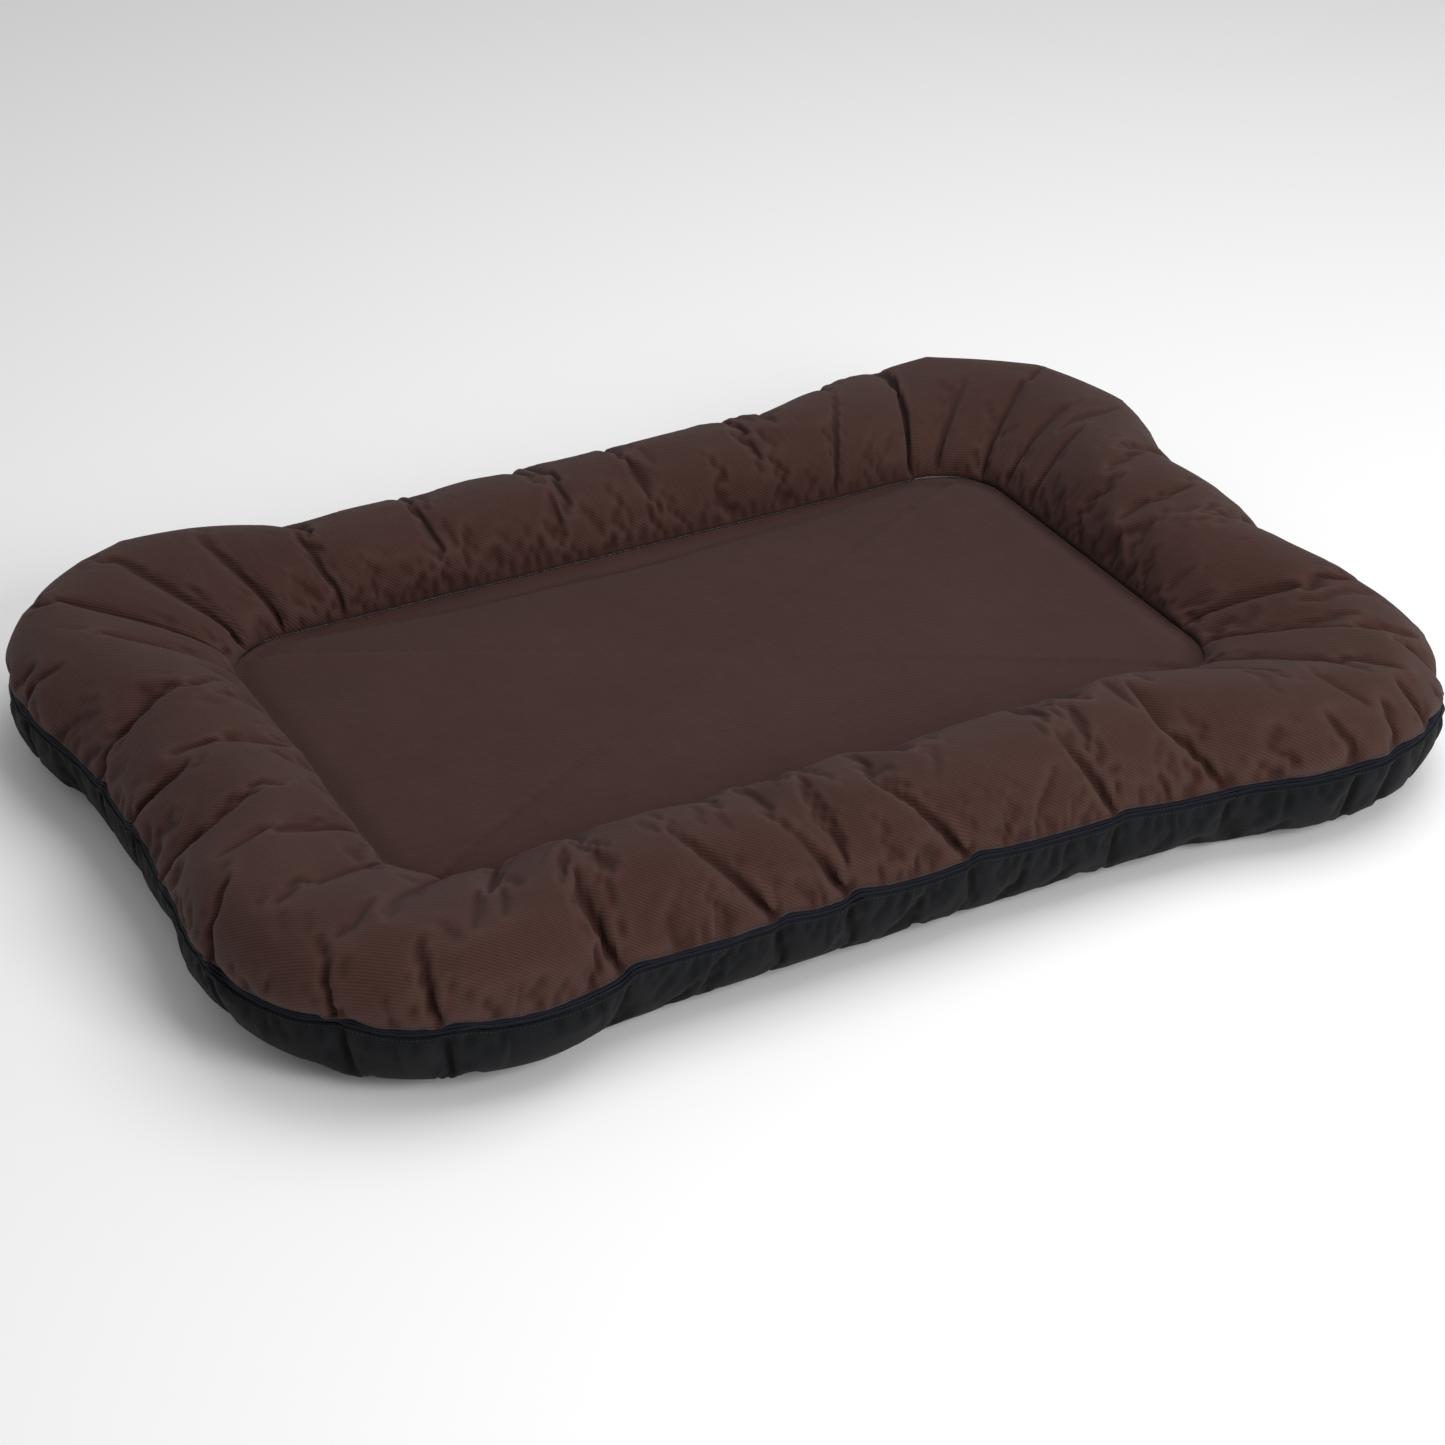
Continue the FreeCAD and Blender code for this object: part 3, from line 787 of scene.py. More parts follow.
def sewSeam(piece):
    # the row of stitches on the panel, just inside its seam with the rim
    points = readPoints(piece)
    faces = [tuple(face.vertices) for face in piece.data.polygons]
    surface = BVHTree.FromPolygons(points.tolist(), faces)
    line = innerLine - across * panel["stitchIn"]
    closed = np.concatenate([line, line[:1]])
    along = np.concatenate([[0], np.cumsum(np.linalg.norm(np.diff(closed, axis=0), axis=1))])
    wanted = np.linspace(0, along[-1], int(along[-1] / panel["stitchPitch"]), endpoint=False)
    spots = np.stack([np.interp(wanted, along, closed[:, k]) for k in (0, 1)], 1)
    places, ups = [], []
    for x, y in spots:
        hit, normal, index, distance = surface.ray_cast(Vector((x, y, 0.3)), Vector((0, 0, -1)))
        places.append(hit + normal * 0.0001)
        ups.append(normal)
    places, ups = np.array(places), np.array(ups)
    alongs = np.roll(places, -1, 0) - np.roll(places, 1, 0)
    alongs -= ups * (alongs * ups).sum(1)[:, None]
    alongs /= np.linalg.norm(alongs, axis=1)[:, None]
    return sewRow("seamStitches", places, alongs, ups, *panel["stitch"])


endTab = {
    "cuts": 6,
    "pressed": 0.0006,        # how far its edges are pressed down, and over what width
    "pressedWidth": 0.004,
    "raised": 0.0005,         # where it passes over the chain
    "edgeRound": 0.0004,
    "stitchPitch": 0.003,
    "stitchSunk": 0.0003,
    "stitch": (0.0024, 0.0006),
}


def buildEndTab():
    # a folded scrap of black cloth sewn over the zip's two ends
    low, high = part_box("zip_end_tab")
    middle, size = (low + high) / 2, high - low
    deselect()
    bpy.ops.mesh.primitive_cube_add(size=1, location=middle, scale=(size.x, size.y, size.z))
    tab = bpy.context.object
    tab.name = tab.data.name = "zipEndTab"
    bpy.ops.object.transform_apply()
    bpy.ops.object.mode_set(mode="EDIT")
    bpy.ops.mesh.select_all(action="SELECT")
    bpy.ops.mesh.subdivide(number_cuts=endTab["cuts"])
    bpy.ops.object.mode_set(mode="OBJECT")
    points = readPoints(tab)
    fromEnd = size.x / 2 - np.abs(points[:, 0] - middle.x)
    edge = np.minimum(fromEnd, size.z / 2 - np.abs(points[:, 2] - middle.z))
    pressed = np.clip(1 - edge / endTab["pressedWidth"], 0, 1) * (points[:, 1] > middle.y)
    points[:, 1] -= endTab["pressed"] * pressed
    points[:, 1] += endTab["raised"] * np.exp(-((points[:, 2] - middle.z) / 0.005) ** 2)
    writePoints(tab, points)
    applyModifier(tab, "BEVEL", width=endTab["edgeRound"], segments=2)
    applyModifier(tab, "SUBSURF", levels=1, render_levels=1)
    smoothFaces(tab)
    return tab


def buildTabStitches():
    # one row of stitches all round the end tab
    low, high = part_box("end_tab_thread")
    corners = [Vector((low.x, high.y, low.z)), Vector((high.x, high.y, low.z)),
               Vector((high.x, high.y, high.z)), Vector((low.x, high.y, high.z))]
    places, alongs = [], []
    for k in range(4):
        run = corners[(k + 1) % 4] - corners[k]
        count = int(run.length / endTab["stitchPitch"])
        for step in range(count):
            places.append(corners[k] + run * ((step + 0.5) / count))
            alongs.append(run.normalized())
    places, alongs = np.array(places), np.array(alongs)
    places[:, 1] -= endTab["stitchSunk"]
    ups = np.tile([0.0, 1.0, 0.0], (len(places), 1))
    return sewRow("endTabStitches", places, alongs, ups, *endTab["stitch"])


def insideRows(grid, depth, turns):
    # the cover's form with its puckers eased out, drawn in by that depth
    rows = grid.copy()
    for turn in range(turns):
        rows = rows * 0.5 + (np.roll(rows, 1, 1) + np.roll(rows, -1, 1)) * 0.25
        rows[1:-1] = rows[1:-1] * 0.5 + (rows[:-2] + rows[2:]) * 0.25
    inwards = -awayFrom(rows)
    # beside the panel's seam, out under the rim and down
    nearSeam = np.clip(1 - np.arange(len(rows)) / 7, 0, 1)[:, None, None]
    under = np.column_stack([across * 0.6, np.full(columnCount, -0.9)])
    return rows + (inwards * (1 - nearSeam) + under * nearSeam) * depth


# the insert inside the cover
insert = {
    "linerIn": 0.0170,        # below the cover's face
    "fillingIn": 0.0205,
    "panelIn": 0.0160,        # clear of the loose strip at the rear
    "linerThickness": 0.0006,
    "tuft": 0.0022,           # how uneven the fibre's face is
    "tuftScale": 45,
    "floorGap": 0.0035,       # between the liner's underside and the ground
    "crown": 0.003,           # how far the liner's middle stands above its edge
    "wallIn": 0.004,          # from the seam to either filling
    "wave": 0.0012,           # how far the dividing wall bellies
}


def buildLiners(grid):
    rimLast = cover["rimRows"]
    eased = insideRows(grid, insert["linerIn"], 5)
    top = cover["seamHeight"] - insert["panelIn"]
    shares = (0.15, 0.4, 0.65, 0.85, 0.95, 0.985)
    rings = discRows(eased[0], shares, lambda share: top + insert["crown"] * (1 - share))
    upper = wrapGrid("insertLinerUpper", np.concatenate([rings, eased[:rimLast + 1]]))
    floor = np.maximum(eased[rimLast + 1:], (-9, -9, insert["floorGap"]))
    rings = discRows(floor[-1], (0.9, 0.6, 0.3), lambda share: insert["floorGap"])
    lower = wrapGrid("insertLinerLower", np.concatenate([floor, rings]))
    for piece in (upper, lower):
        closeMiddle(piece)
        applyModifier(piece, "SOLIDIFY", thickness=insert["linerThickness"], offset=-1.0)
        smoothFaces(piece)
    return upper, lower


def tuftFibre(piece):
    # fibre shows as soft lumps
    points = readPoints(piece)
    normals = np.zeros(len(points) * 3)
    piece.data.vertices.foreach_get("normal", normals)
    lump = np.array([noise.noise(Vector(point) * insert["tuftScale"]) - 0.35 for point in points])
    writePoints(piece, points + normals.reshape(-1, 3) * (lump * insert["tuft"])[:, None])
    smoothFaces(piece)


def buildFillings(grid):
    # the rim's ring of fibre and the centre's flat pillow, each side of the divider
    eased = insideRows(grid, insert["fillingIn"], 9)[:-3]
    eased[..., 2] = np.maximum(eased[..., 2], 0.006)
    foot = np.column_stack([innerLine + across * insert["wallIn"], np.full(columnCount, 0.009)])
    between = np.column_stack([(foot[:, :2] + eased[-1][:, :2]) / 2, np.full(columnCount, 0.006)])
    middle = foot.copy()
    middle[:, 2] = 0.04
    ring = wrapGrid("rimFilling", np.concatenate([eased, [between, foot, middle]]), closeColumns=True)
    edge = np.column_stack([innerLine - across * insert["wallIn"], np.zeros(columnCount)])
    top = cover["seamHeight"] - insert["panelIn"] - 0.004
    shares = (0.2, 0.45, 0.7, 0.88, 0.97)
    upper = discRows(edge, shares, lambda share: top + 0.004 * (1 - share))
    side = [edge + (0, 0, height) for height in (top - 0.008, 0.04, 0.014)]
    lower = discRows(edge, shares[::-1], lambda share: 0.008)
    pillow = wrapGrid("centreFilling", np.concatenate([upper, side, lower]))
    for piece in (ring, pillow):
        applyModifier(piece, "SUBSURF", levels=1, render_levels=1)
        closeMiddle(piece)
        tuftFibre(piece)
    return ring, pillow


def buildDivider():
    # the wall of cloth that keeps the two fillings apart
    low, high = 0.006, cover["seamHeight"] - insert["panelIn"] - 0.001
    rows = []
    for share in np.linspace(0, 1, 7):
        wave = insert["wave"] * np.sin(ringAt * 38 + share * 2) * math.sin(share * math.pi)
        line = innerLine + across * (wave - insert["wave"])[:, None]
        rows.append(np.column_stack([line, np.full(columnCount, low + (high - low) * share)]))
    piece = wrapGrid("chamberDivider", rows[::-1])
    applyModifier(piece, "SOLIDIFY", thickness=insert["linerThickness"], offset=0.0)
    smoothFaces(piece)
    return piece


careTag = {
    "lean": math.radians(28),
    "setIn": 0.004,           # behind the cover, clear of its folds
    "curl": 0.0010,
    "thickness": 0.0003,
}


def buildLabel():
    # blank care label, leaning in with the cover and curling a little
    low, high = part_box("care_label")
    wide, tall = high.x - low.x, high.z - low.z
    rows = []
    for down in np.linspace(0, tall, 9):
        curl = careTag["curl"] * (down / tall) ** 2
        level = low.z + (tall - down) * math.cos(careTag["lean"])
        depth = low.y - careTag["setIn"] - (tall - down) * math.sin(careTag["lean"])
        along = np.linspace(low.x, high.x, 13)
        rows.append([(x, depth - curl * (1 + 0.3 * math.sin(x * 300)), level) for x in along])
    piece = wrapGrid("careLabel", rows, closeRows=False)
    applyModifier(piece, "SOLIDIFY", thickness=careTag["thickness"], offset=-1.0)
    smoothFaces(piece)
    return piece


# finishes: colours are linear, sizes are in metres
# lighterTone is the paler colour of random tone and rubbed wear, and on the fold ridges also a painted
# highlight; deep is the darker colour of random tone, and in the fold valleys a painted shade
brown = {
    "colour": (0.0424, 0.0154, 0.0108), "lighterTone": (0.0600, 0.0275, 0.0220), "deep": (0.0260, 0.0074, 0.0050),
    "ribs": 380, "bump": 0.55, "rough": 0.80, "specular": 0.14, "sheen": 0.05, "wrinkle": 0.13,
}
black = {
    "colour": (0.0044, 0.0048, 0.0058), "lighterTone": (0.0068, 0.0073, 0.0086), "deep": (0.0024, 0.0026, 0.0031),
    "ribs": 380, "bump": 0.45, "rough": 0.82, "specular": 0.12, "sheen": 0.02, "wrinkle": 0.15,
}
lining = {
    "colour": (0.62, 0.61, 0.58), "lighterTone": (0.72, 0.71, 0.69), "deep": (0.46, 0.45, 0.42),
    "ribs": 260, "bump": 0.5, "rough": 0.95, "specular": 0.2, "sheen": 0.0, "wrinkle": 0.5,
}
label = {
    "colour": (0.70, 0.70, 0.68), "lighterTone": (0.78, 0.78, 0.76), "deep": (0.55, 0.55, 0.52),
    "ribs": 1200, "bump": 0.3, "rough": 0.6, "specular": 0.4, "sheen": 0.0, "wrinkle": 0.1,
}


def makeGroup(name, inputs, outputs):
    group = bpy.data.node_groups.new(name, "ShaderNodeTree")
    for label, kind, value in inputs:
        socket = group.interface.new_socket(name=label, in_out="INPUT", socket_type="NodeSocket" + kind)
        if value is not None:
            socket.default_value = value
    for label, kind in outputs:
        group.interface.new_socket(name=label, in_out="OUTPUT", socket_type="NodeSocket" + kind)
    return group, group.nodes.new("NodeGroupInput"), group.nodes.new("NodeGroupOutput")


def plug(tree, value, socket):
    if isinstance(value, bpy.types.NodeSocket):
        tree.links.new(value, socket)
    else:
        socket.default_value = value


def addMath(tree, operation, *values):
    node = tree.nodes.new("ShaderNodeMath")
    node.operation = operation
    for value, socket in zip(values, node.inputs):
        plug(tree, value, socket)
    return node.outputs[0]


def addSum(tree, *parts):
    # the sum of some values, each times its weight
    total = None
    for value, weight in parts:
        part = addMath(tree, "MULTIPLY", value, weight)
        total = part if total is None else addMath(tree, "ADD", total, part)
    return total


def addNoise(tree, vector, scale, detail=2.0, rough=0.5):
    node = tree.nodes.new("ShaderNodeTexNoise")
    tree.links.new(vector, node.inputs["Vector"])
    node.inputs["Scale"].default_value = scale
    node.inputs["Detail"].default_value = detail
    node.inputs["Roughness"].default_value = rough
    return node.outputs["Fac"]


def addStretch(tree, vector, scale):
    node = tree.nodes.new("ShaderNodeMapping")
    tree.links.new(vector, node.inputs["Vector"])
    node.inputs["Scale"].default_value = scale
    return node.outputs["Vector"]


def addRange(tree, value, low, high, toLow, toHigh):
    node = tree.nodes.new("ShaderNodeMapRange")
    ends = ((low, "From Min"), (high, "From Max"), (toLow, "To Min"), (toHigh, "To Max"))
    for given, label in ((value, "Value"), *ends):
        plug(tree, given, node.inputs[label])
    return node.outputs["Result"]


def addMix(tree, share, first, second):
    node = tree.nodes.new("ShaderNodeMix")
    node.data_type = "RGBA"
    plug(tree, share, node.inputs["Factor"])
    plug(tree, first, node.inputs[6])
    plug(tree, second, node.inputs[7])
    return node.outputs[2]


def addBump(tree, height, strength, distance, normal=None):
    node = tree.nodes.new("ShaderNodeBump")
    node.inputs["Strength"].default_value = strength
    node.inputs["Distance"].default_value = distance
    tree.links.new(height, node.inputs["Height"])
    if normal:
        tree.links.new(normal, node.inputs["Normal"])
    return node.outputs["Normal"]


def addGroup(tree, group, **values):
    node = tree.nodes.new("ShaderNodeGroup")
    node.node_tree = group
    for label, value in values.items():
        plug(tree, value, node.inputs[label])
    return node


def makeWeaveGroup():
    # diagonal ribs of a twill with the cross threads between them
    group, given, result = makeGroup("twillWeave", [("Vector", "Vector", None), ("Ribs", "Float", 400.0)],
                                     [("Height", "Float"), ("Grain", "Float")])
    drift = addNoise(group, given.outputs["Vector"], 9.0, 1.0)
    parts = group.nodes.new("ShaderNodeSeparateXYZ")
    group.links.new(given.outputs["Vector"], parts.inputs[0])
    turns = addMath(group, "MULTIPLY", given.outputs["Ribs"], 2 * math.pi)
    u = addMath(group, "MULTIPLY", parts.outputs[0], turns)
    v = addMath(group, "MULTIPLY", parts.outputs[1], turns)
    u = addSum(group, (u, 1.0), (drift, 1.5))
    rib = addMath(group, "SINE", addSum(group, (u, 0.6), (v, 0.8)))
    cross = addMath(group, "SINE", addSum(group, (u, 1.6), (v, -1.2)))
    grain = addNoise(group, given.outputs["Vector"], 750.0, 2.0, 0.6)
    height = addSum(group, (rib, 0.36), (cross, 0.16), (grain, 0.9))
    group.links.new(addMath(group, "ADD", height, 0.05), result.inputs["Height"])
    group.links.new(grain, result.inputs["Grain"])
    return group


def makeToneGroup():
    # a dyed cloth's colour: cloudy, with slubs along both threads; lighter on the fold ridges, partly rubbed
    # wear and partly painted highlight, and darker in the fold valleys as painted shade
    group, given, result = makeGroup(
        "clothTone",
        [("Vector", "Vector", None), ("Colour", "Color", None), ("Worn", "Color", None),
         ("Deep", "Color", None), ("Fold", "Float", 0.0), ("Height", "Float", 0.5)],
        [("Colour", "Color"), ("Rub", "Float")])
    where = given.outputs["Vector"]
    cloud = addNoise(group, where, 6.0, 3.0)
    patch = addNoise(group, where, 34.0, 3.0, 0.6)
    slubU = addNoise(group, addStretch(group, where, (14, 620, 1)), 1.0, 1.0)
    slubV = addNoise(group, addStretch(group, where, (620, 14, 1)), 1.0, 1.0)
    slubs = addMath(group, "ADD", slubU, slubV)
    threads, folds = given.outputs["Height"], given.outputs["Fold"]
    # the fold term paints the ridges lighter, partly rubbed wear and partly painted highlight, and the
    # valleys darker, which is painted shade
    total = addSum(group, (cloud, 0.40), (patch, 0.25), (slubs, 0.22), (threads, 0.55), (folds, 0.42))
    lighter = addRange(group, total, 0.85, 1.45, 0.0, 1.0)
    darker = addRange(group, total, 0.85, 0.35, 0.0, 1.0)
    colour = addMix(group, lighter, given.outputs["Colour"], given.outputs["Worn"])
    colour = addMix(group, darker, colour, given.outputs["Deep"])
    group.links.new(colour, result.inputs["Colour"])
    group.links.new(addRange(group, total, 0.35, 1.45, 0.06, -0.06), result.inputs["Rub"])
    return group


def makeWrinkleGroup():
    # slack little creases that run every way
    group, given, result = makeGroup("slackWrinkle", [("Vector", "Vector", None)], [("Height", "Float")])
    first = addNoise(group, addStretch(group, given.outputs["Vector"], (1.0, 2.2, 1)), 16.0, 3.0, 0.55)
    second = addNoise(group, addStretch(group, given.outputs["Vector"], (2.0, 1.0, 1)), 23.0, 2.0, 0.5)
    sharp = addMath(group, "ABSOLUTE", addMath(group, "SUBTRACT", first, 0.5))
    height = addMath(group, "ADD", addMath(group, "MULTIPLY", sharp, -1.4), second)
    group.links.new(height, result.inputs["Height"])
    return group


def newMaterial(name):
    finish = bpy.data.materials.new(name)
    finish.use_nodes = True
    return finish, finish.node_tree, finish.node_tree.nodes["Principled BSDF"]


def makeCloth(name, look, ownLayout=True):
    finish, tree, shader = newMaterial(name)
    if ownLayout:
        source = tree.nodes.new("ShaderNodeUVMap")
        source.uv_map = "cloth"
        where = source.outputs["UV"]
    else:
        where = tree.nodes.new("ShaderNodeTexCoord").outputs["Object"]
    # the fold attribute feeds the tone: ridges lighter, partly rubbed wear and partly painted highlight, and
    # valleys darker as painted shade
    fold = tree.nodes.new("ShaderNodeAttribute")
    fold.attribute_name = "fold"
    weave = addGroup(tree, groups["weave"], Vector=where, Ribs=float(look["ribs"]))
    tone = addGroup(tree, groups["tone"], Vector=where, Colour=(*look["colour"], 1), Worn=(*look["lighterTone"], 1),
                    Deep=(*look["deep"], 1), Fold=fold.outputs["Fac"], Height=weave.outputs["Height"])
    wrinkle = addGroup(tree, groups["wrinkle"], Vector=where)
    tree.links.new(tone.outputs["Colour"], shader.inputs["Base Color"])
    tree.links.new(addMath(tree, "ADD", tone.outputs["Rub"], look["rough"]), shader.inputs["Roughness"])
    normal = addBump(tree, wrinkle.outputs["Height"], look["wrinkle"], 0.006)
    normal = addBump(tree, weave.outputs["Height"], look["bump"], 0.0006, normal)
    tree.links.new(normal, shader.inputs["Normal"])
    shader.inputs["Specular IOR Level"].default_value = look["specular"]
    shader.inputs["Sheen Weight"].default_value = look["sheen"]
    shader.inputs["Sheen Roughness"].default_value = 0.6
    return finish


def makeThread(name, colour):
    # twisted sewing thread
    finish, tree, shader = newMaterial(name)
    where = tree.nodes.new("ShaderNodeTexCoord").outputs["Object"]
    strand = tree.nodes.new("ShaderNodeTexWave")
    strand.bands_direction = "DIAGONAL"
    tree.links.new(where, strand.inputs["Vector"])
    strand.inputs["Scale"].default_value = 900.0
    fuzz = addNoise(tree, where, 400.0, 2.0)
    dark = tuple(part * 0.6 for part in colour)
    tree.links.new(addMix(tree, fuzz, (*dark, 1), (*colour, 1)), shader.inputs["Base Color"])
    tree.links.new(addBump(tree, strand.outputs["Fac"], 0.6, 0.0002), shader.inputs["Normal"])
    tree.links.new(addRange(tree, fuzz, 0.3, 0.7, 0.5, 0.7), shader.inputs["Roughness"])
    shader.inputs["Specular IOR Level"].default_value = 0.15
    return finish


def makeTape():
    # woven zip tape: fine ribs along it and a glossier rolled edge beside the chain, whose colour is also
    # painted lighter as a painted highlight
    finish, tree, shader = newMaterial("zipTape")
    source = tree.nodes.new("ShaderNodeUVMap")
    source.uv_map = "cloth"
    parts = tree.nodes.new("ShaderNodeSeparateXYZ")
    tree.links.new(source.outputs["UV"], parts.inputs[0])
    ribs = addMath(tree, "SINE", addMath(tree, "MULTIPLY", parts.outputs[1], 2 * math.pi / 0.0009))
    picks = addMath(tree, "SINE", addMath(tree, "MULTIPLY", parts.outputs[0], 2 * math.pi / 0.0016))
    height = addMath(tree, "ADD", addMath(tree, "MULTIPLY", ribs, 0.3), addMath(tree, "MULTIPLY", picks, 0.2))
    lighterTone = addNoise(tree, source.outputs["UV"], 60.0, 3.0)
    # the tape is painted lighter on the rolled edge beside the chain, a painted highlight, and paler at
    # random through the noise
    edge = addRange(tree, parts.outputs[1], 0.0006, 0.0019, 1.0, 0.0)
    share = addMath(tree, "MULTIPLY", addMath(tree, "ADD", edge, addMath(tree, "MULTIPLY", lighterTone, 0.5)), 0.7)
    tree.links.new(addMix(tree, share, (0.0026, 0.0030, 0.0062, 1), (0.0082, 0.0095, 0.0190, 1)),
                   shader.inputs["Base Color"])
    tree.links.new(addRange(tree, edge, 0.0, 1.0, 0.75, 0.60), shader.inputs["Roughness"])
    tree.links.new(addBump(tree, height, 0.5, 0.0003), shader.inputs["Normal"])
    shader.inputs["Specular IOR Level"].default_value = 0.18
    return finish


def makeCoil():
    # moulded nylon turns seen side on; the colour follows the turns, lighter on each crest as a painted
    # highlight and darker between them as painted shade
    finish, tree, shader = newMaterial("zipCoil")
    source = tree.nodes.new("ShaderNodeUVMap")
    source.uv_map = "cloth"
    parts = tree.nodes.new("ShaderNodeSeparateXYZ")
    tree.links.new(source.outputs["UV"], parts.inputs[0])
    turns = addMath(tree, "SINE", addMath(tree, "MULTIPLY", parts.outputs[0], 2 * math.pi / 0.0018))
    # painted highlight on each turn's crest and painted shade in the gaps between turns
    tree.links.new(addMix(tree, addRange(tree, turns, -1.0, 1.0, 0.0, 1.0), (0.004, 0.004, 0.006, 1),
                          (0.018, 0.019, 0.024, 1)), shader.inputs["Base Color"])
    tree.links.new(addBump(tree, turns, 0.8, 0.0008), shader.inputs["Normal"])
    shader.inputs["Roughness"].default_value = 0.38
    return finish


def makeMetal(name, colour, scuffed, rough, metallic):
    # cast metal, lacquered or bare, scuffed where it is handled
    finish, tree, shader = newMaterial(name)
    where = tree.nodes.new("ShaderNodeTexCoord").outputs["Object"]
    scuff = addNoise(tree, where, 600.0, 4.0, 0.65)
    share = addRange(tree, scuff, 0.55, 0.72, 0.0, 1.0)
    tree.links.new(addMix(tree, share, (*colour, 1), (*scuffed, 1)), shader.inputs["Base Color"])
    tree.links.new(addRange(tree, scuff, 0.3, 0.7, rough - 0.08, rough + 0.14), shader.inputs["Roughness"])
    tree.links.new(addBump(tree, scuff, 0.15, 0.0001), shader.inputs["Normal"])
    shader.inputs["Metallic"].default_value = metallic
    return finish


def makeFibre():
    # white polyester wadding
    finish, tree, shader = newMaterial("fibreFill")
    where = tree.nodes.new("ShaderNodeTexCoord").outputs["Object"]
    strands = addNoise(tree, addStretch(tree, where, (1.0, 1.0, 3.0)), 260.0, 6.0, 0.75)
    clumps = addNoise(tree, where, 30.0, 3.0)
    colour = addMix(tree, clumps, (0.62, 0.62, 0.60, 1), (0.88, 0.88, 0.87, 1))
    tree.links.new(colour, shader.inputs["Base Color"])
    tree.links.new(addBump(tree, strands, 0.9, 0.004), shader.inputs["Normal"])
    shader.inputs["Roughness"].default_value = 0.95
    shader.inputs["Sheen Weight"].default_value = 0.3
    return finish


# the camera stands low at one corner, with a long lens
camera = {
    "azimuth": -27.79, "elevation": 30.73, "distance": 3.046, "lens": 80.9,
    "aimDown": 0.037, "aimRight": 0.0012, "aimHeight": 0.054,
}
# a wide lamp above and a smaller one in front, in a white room; each lamp has its place, size and power
studio = {
    "world": 0.41,
    "floor": (0.95, 0.95, 0.95, 1),
    "floorDrop": 0.0005,
    "lamps": (("overhead", (0.9, 0.0, 2.6), 2.4, 39), ("key", (0.6, -2.6, 1.6), 1.3, 46)),
}


def placeCamera():
    turn, rise = math.radians(camera["azimuth"]), math.radians(camera["elevation"])
    back = Vector((math.sin(turn) * math.cos(rise), -math.cos(turn) * math.cos(rise), math.sin(rise)))
    right = Vector((math.cos(turn), math.sin(turn), 0))
    centre = Vector((0, 0, camera["aimHeight"]))
    where = centre + back * camera["distance"]
    aim = centre - back.cross(right) * camera["aimDown"] + right * camera["aimRight"]
    bpy.ops.object.camera_add(location=where)
    eye = bpy.context.object
    eye.name = "camera"
    eye.data.lens = camera["lens"]
    eye.rotation_euler = (aim - where).to_track_quat("-Z", "Y").to_euler()
    bpy.context.scene.camera = eye


def placeLights():
    world = bpy.data.worlds.new("studio")
    bpy.context.scene.world = world
    world.use_nodes = True
    world.node_tree.nodes["Background"].inputs[0].default_value = (1.0, 1.0, 1.0, 1)
    world.node_tree.nodes["Background"].inputs[1].default_value = studio["world"]
    for name, where, size, power in studio["lamps"]:
        bpy.ops.object.light_add(type="AREA", location=where)
        lamp = bpy.context.object
        lamp.name = name
        lamp.data.size = size
        lamp.data.energy = power
        lamp.rotation_euler = (Vector((0, 0, 0.05)) - Vector(where)).to_track_quat("-Z", "Y").to_euler()
    bpy.context.scene.view_settings.view_transform = "Standard"


def placeFloor():
    deselect()
    bpy.ops.mesh.primitive_plane_add(size=40, location=(0, 0, -studio["floorDrop"]))
    floor = bpy.context.object
    floor.name = "floor"
    finish = bpy.data.materials.new("palePaper")
    finish.use_nodes = True
    shader = finish.node_tree.nodes["Principled BSDF"]
    shader.inputs["Base Color"].default_value = studio["floor"]
    shader.inputs["Roughness"].default_value = 0.9
    floor.data.materials.append(finish)


def settle(piece, body, nodes, finish):
    # hand a finished piece to the frame
    piece.data.materials.clear()
    piece.data.materials.append(finish)
    if piece.data.uv_layers:
        piece.data.uv_layers[0].name = "cloth"
    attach(piece, body)
    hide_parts(*nodes)


def refinish(node, finish):
    # a CAD piece keeps its shape and gets a better surface
    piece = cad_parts[node]
    for place in piece.material_slots:
        place.material = finish


placeCamera()
placeLights()
placeFloor()
print("studio ready")

groups = {"weave": makeWeaveGroup(), "tone": makeToneGroup(), "wrinkle": makeWrinkleGroup()}
brownCloth = makeCloth("brownCloth", brown)
blackCloth = makeCloth("blackCloth", black)
tabCloth = makeCloth("tabCloth", black, ownLayout=False)
whiteLiner = makeCloth("whiteLiner", lining, ownLayout=False)
labelCloth = makeCloth("labelCloth", label, ownLayout=False)
brownThread = makeThread("brownThread", (0.032, 0.014, 0.011))
blackThread = makeThread("blackThread", (0.030, 0.031, 0.034))
fibreFill = makeFibre()
print("finishes mixed")

grid, flats = buildCover()
rimCover, rimRows = buildRimCover(grid, flats)
baseCover, baseRows = buildBaseCover(grid, flats)
lyingPanel = buildPanel()
settle(rimCover, "bed", ["rim_cover"], brownCloth)
settle(baseCover, "bed", ["base_cover"], blackCloth)
settle(lyingPanel, "bed", ["lying_panel"], brownCloth)
print("cover sewn")

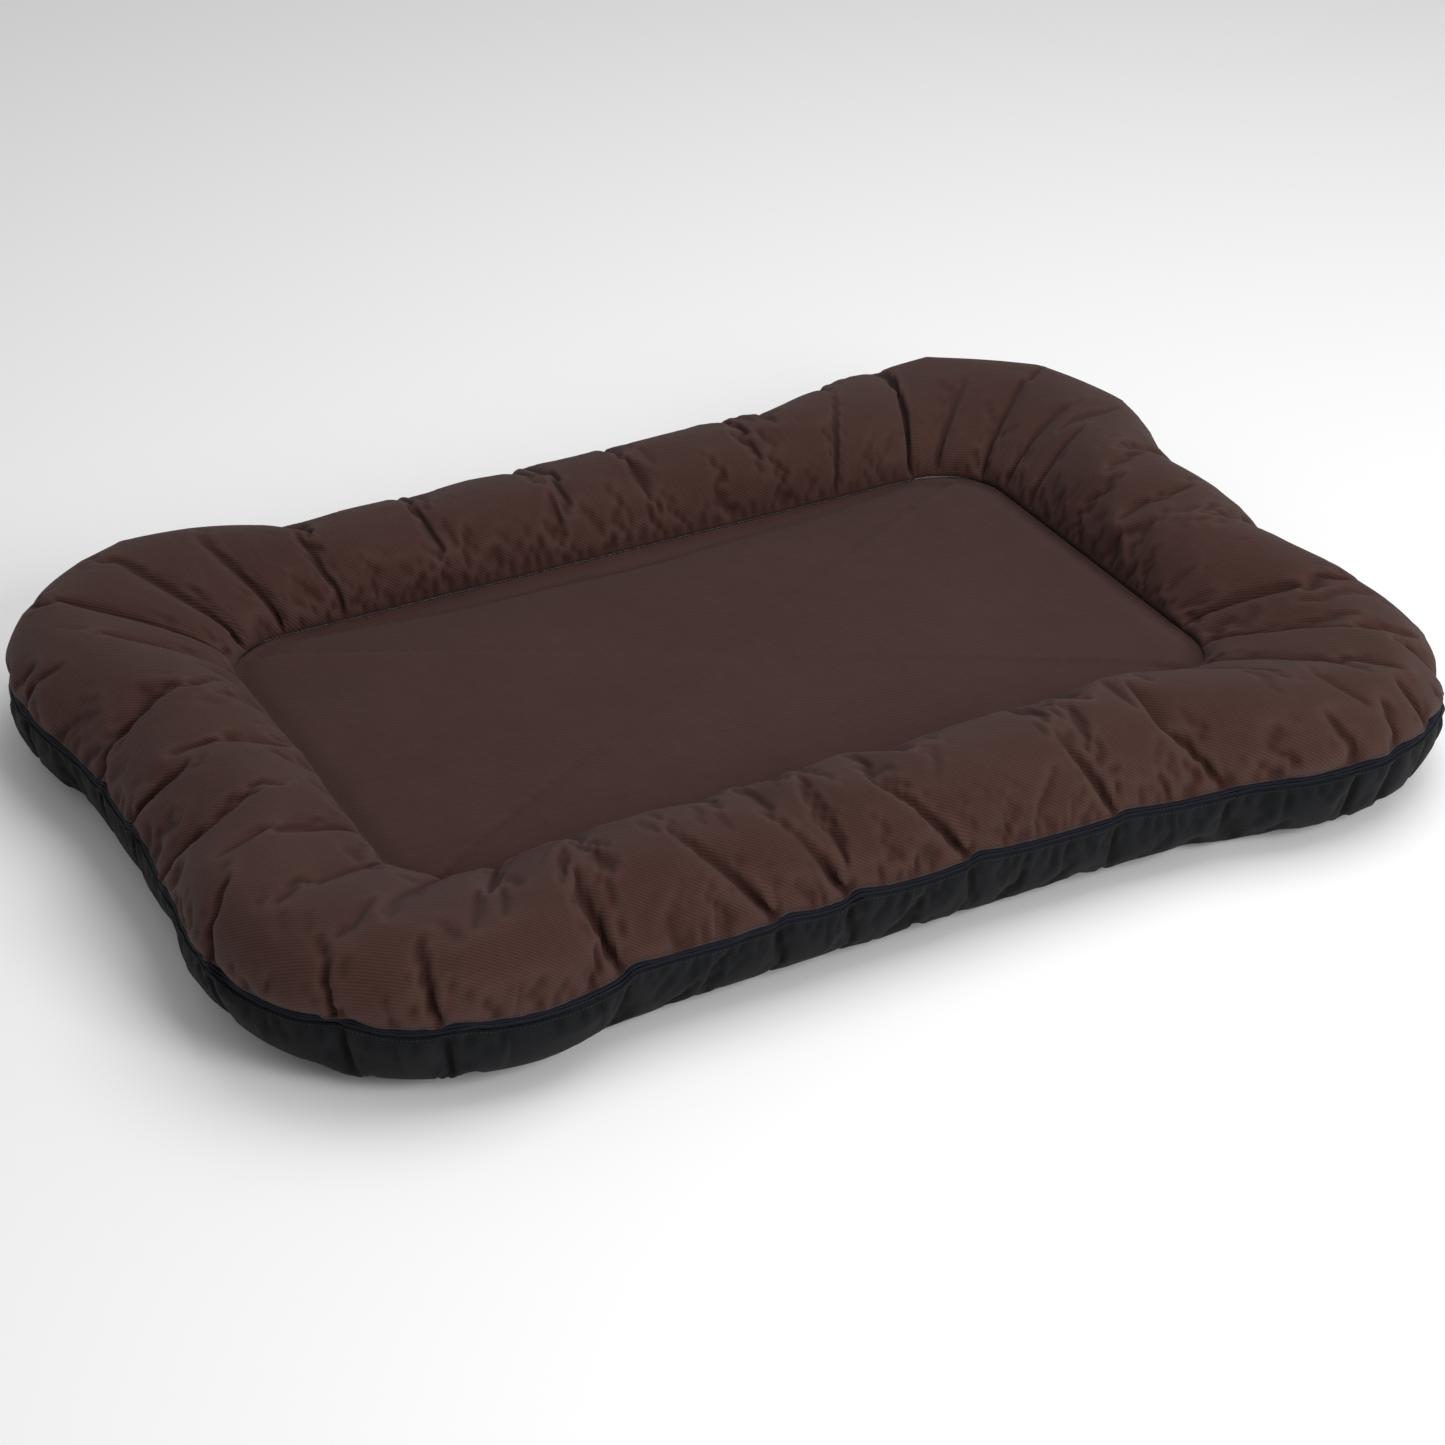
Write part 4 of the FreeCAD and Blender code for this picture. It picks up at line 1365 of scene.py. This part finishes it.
fineOutward = finerLoop(np.column_stack([outward, np.zeros(columnCount)]), cover["finerRound"])
zipLines = zipFrame(rimRows[-1], baseRows[0], fineOutward)
tabLow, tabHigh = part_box("zip_end_tab")
tabMiddle = (tabLow.x + tabHigh.x) / 2
zipTape = makeTape()
zipCoil = makeCoil()
for label, side in (("Upper", 1), ("Lower", -1)):
    tape = sweepBand("zipTape" + label, zipLines, zipBand["tape"], side, tabMiddle)
    settle(tape, "bed", ["zip_tape_" + label.lower()], zipTape)
    coil = sweepBand("zipCoil" + label, zipLines, zipBand["coil"], side, tabMiddle)
    settle(coil, "bed", ["zip_coil_" + label.lower()], zipCoil)
for label, edge, inner in (("Upper", rimRows[-1], rimRows[-2]), ("Lower", baseRows[0], baseRows[1])):
    row = sewHem("hemStitches" + label, edge, inner, zipLines[1])
    settle(row, "bed", ["zip_thread_" + label.lower()], blackThread)
settle(buildEndTab(), "bed", ["zip_end_tab"], tabCloth)
settle(buildTabStitches(), "bed", ["end_tab_thread"], blackThread)
settle(sewSeam(lyingPanel), "bed", ["inner_seam_thread"], brownThread)
print("zip and stitching in place")

linerUpper, linerLower = buildLiners(grid)
settle(linerUpper, "bed", ["insert_liner_upper"], whiteLiner)
settle(linerLower, "bed", ["insert_liner_lower"], whiteLiner)
rimFilling, centreFilling = buildFillings(grid)
settle(rimFilling, "bed", ["rim_filling"], fibreFill)
settle(centreFilling, "bed", ["centre_filling"], fibreFill)
settle(buildDivider(), "bed", ["chamber_divider"], whiteLiner)
settle(buildLabel(), "bed", ["care_label"], labelCloth)
print("insert in place")

sliderMetal = makeMetal("sliderMetal", (0.012, 0.013, 0.016), (0.16, 0.16, 0.16), 0.34, 0.75)
stopMetal = makeMetal("stopMetal", (0.55, 0.55, 0.56), (0.75, 0.75, 0.76), 0.30, 1.0)
for node, finish in (("zip_slider", sliderMetal), ("zip_pull_tab", sliderMetal), ("zip_top_stops", stopMetal),
                     ("zip_bottom_stop", stopMetal)):
    refinish(node, finish)
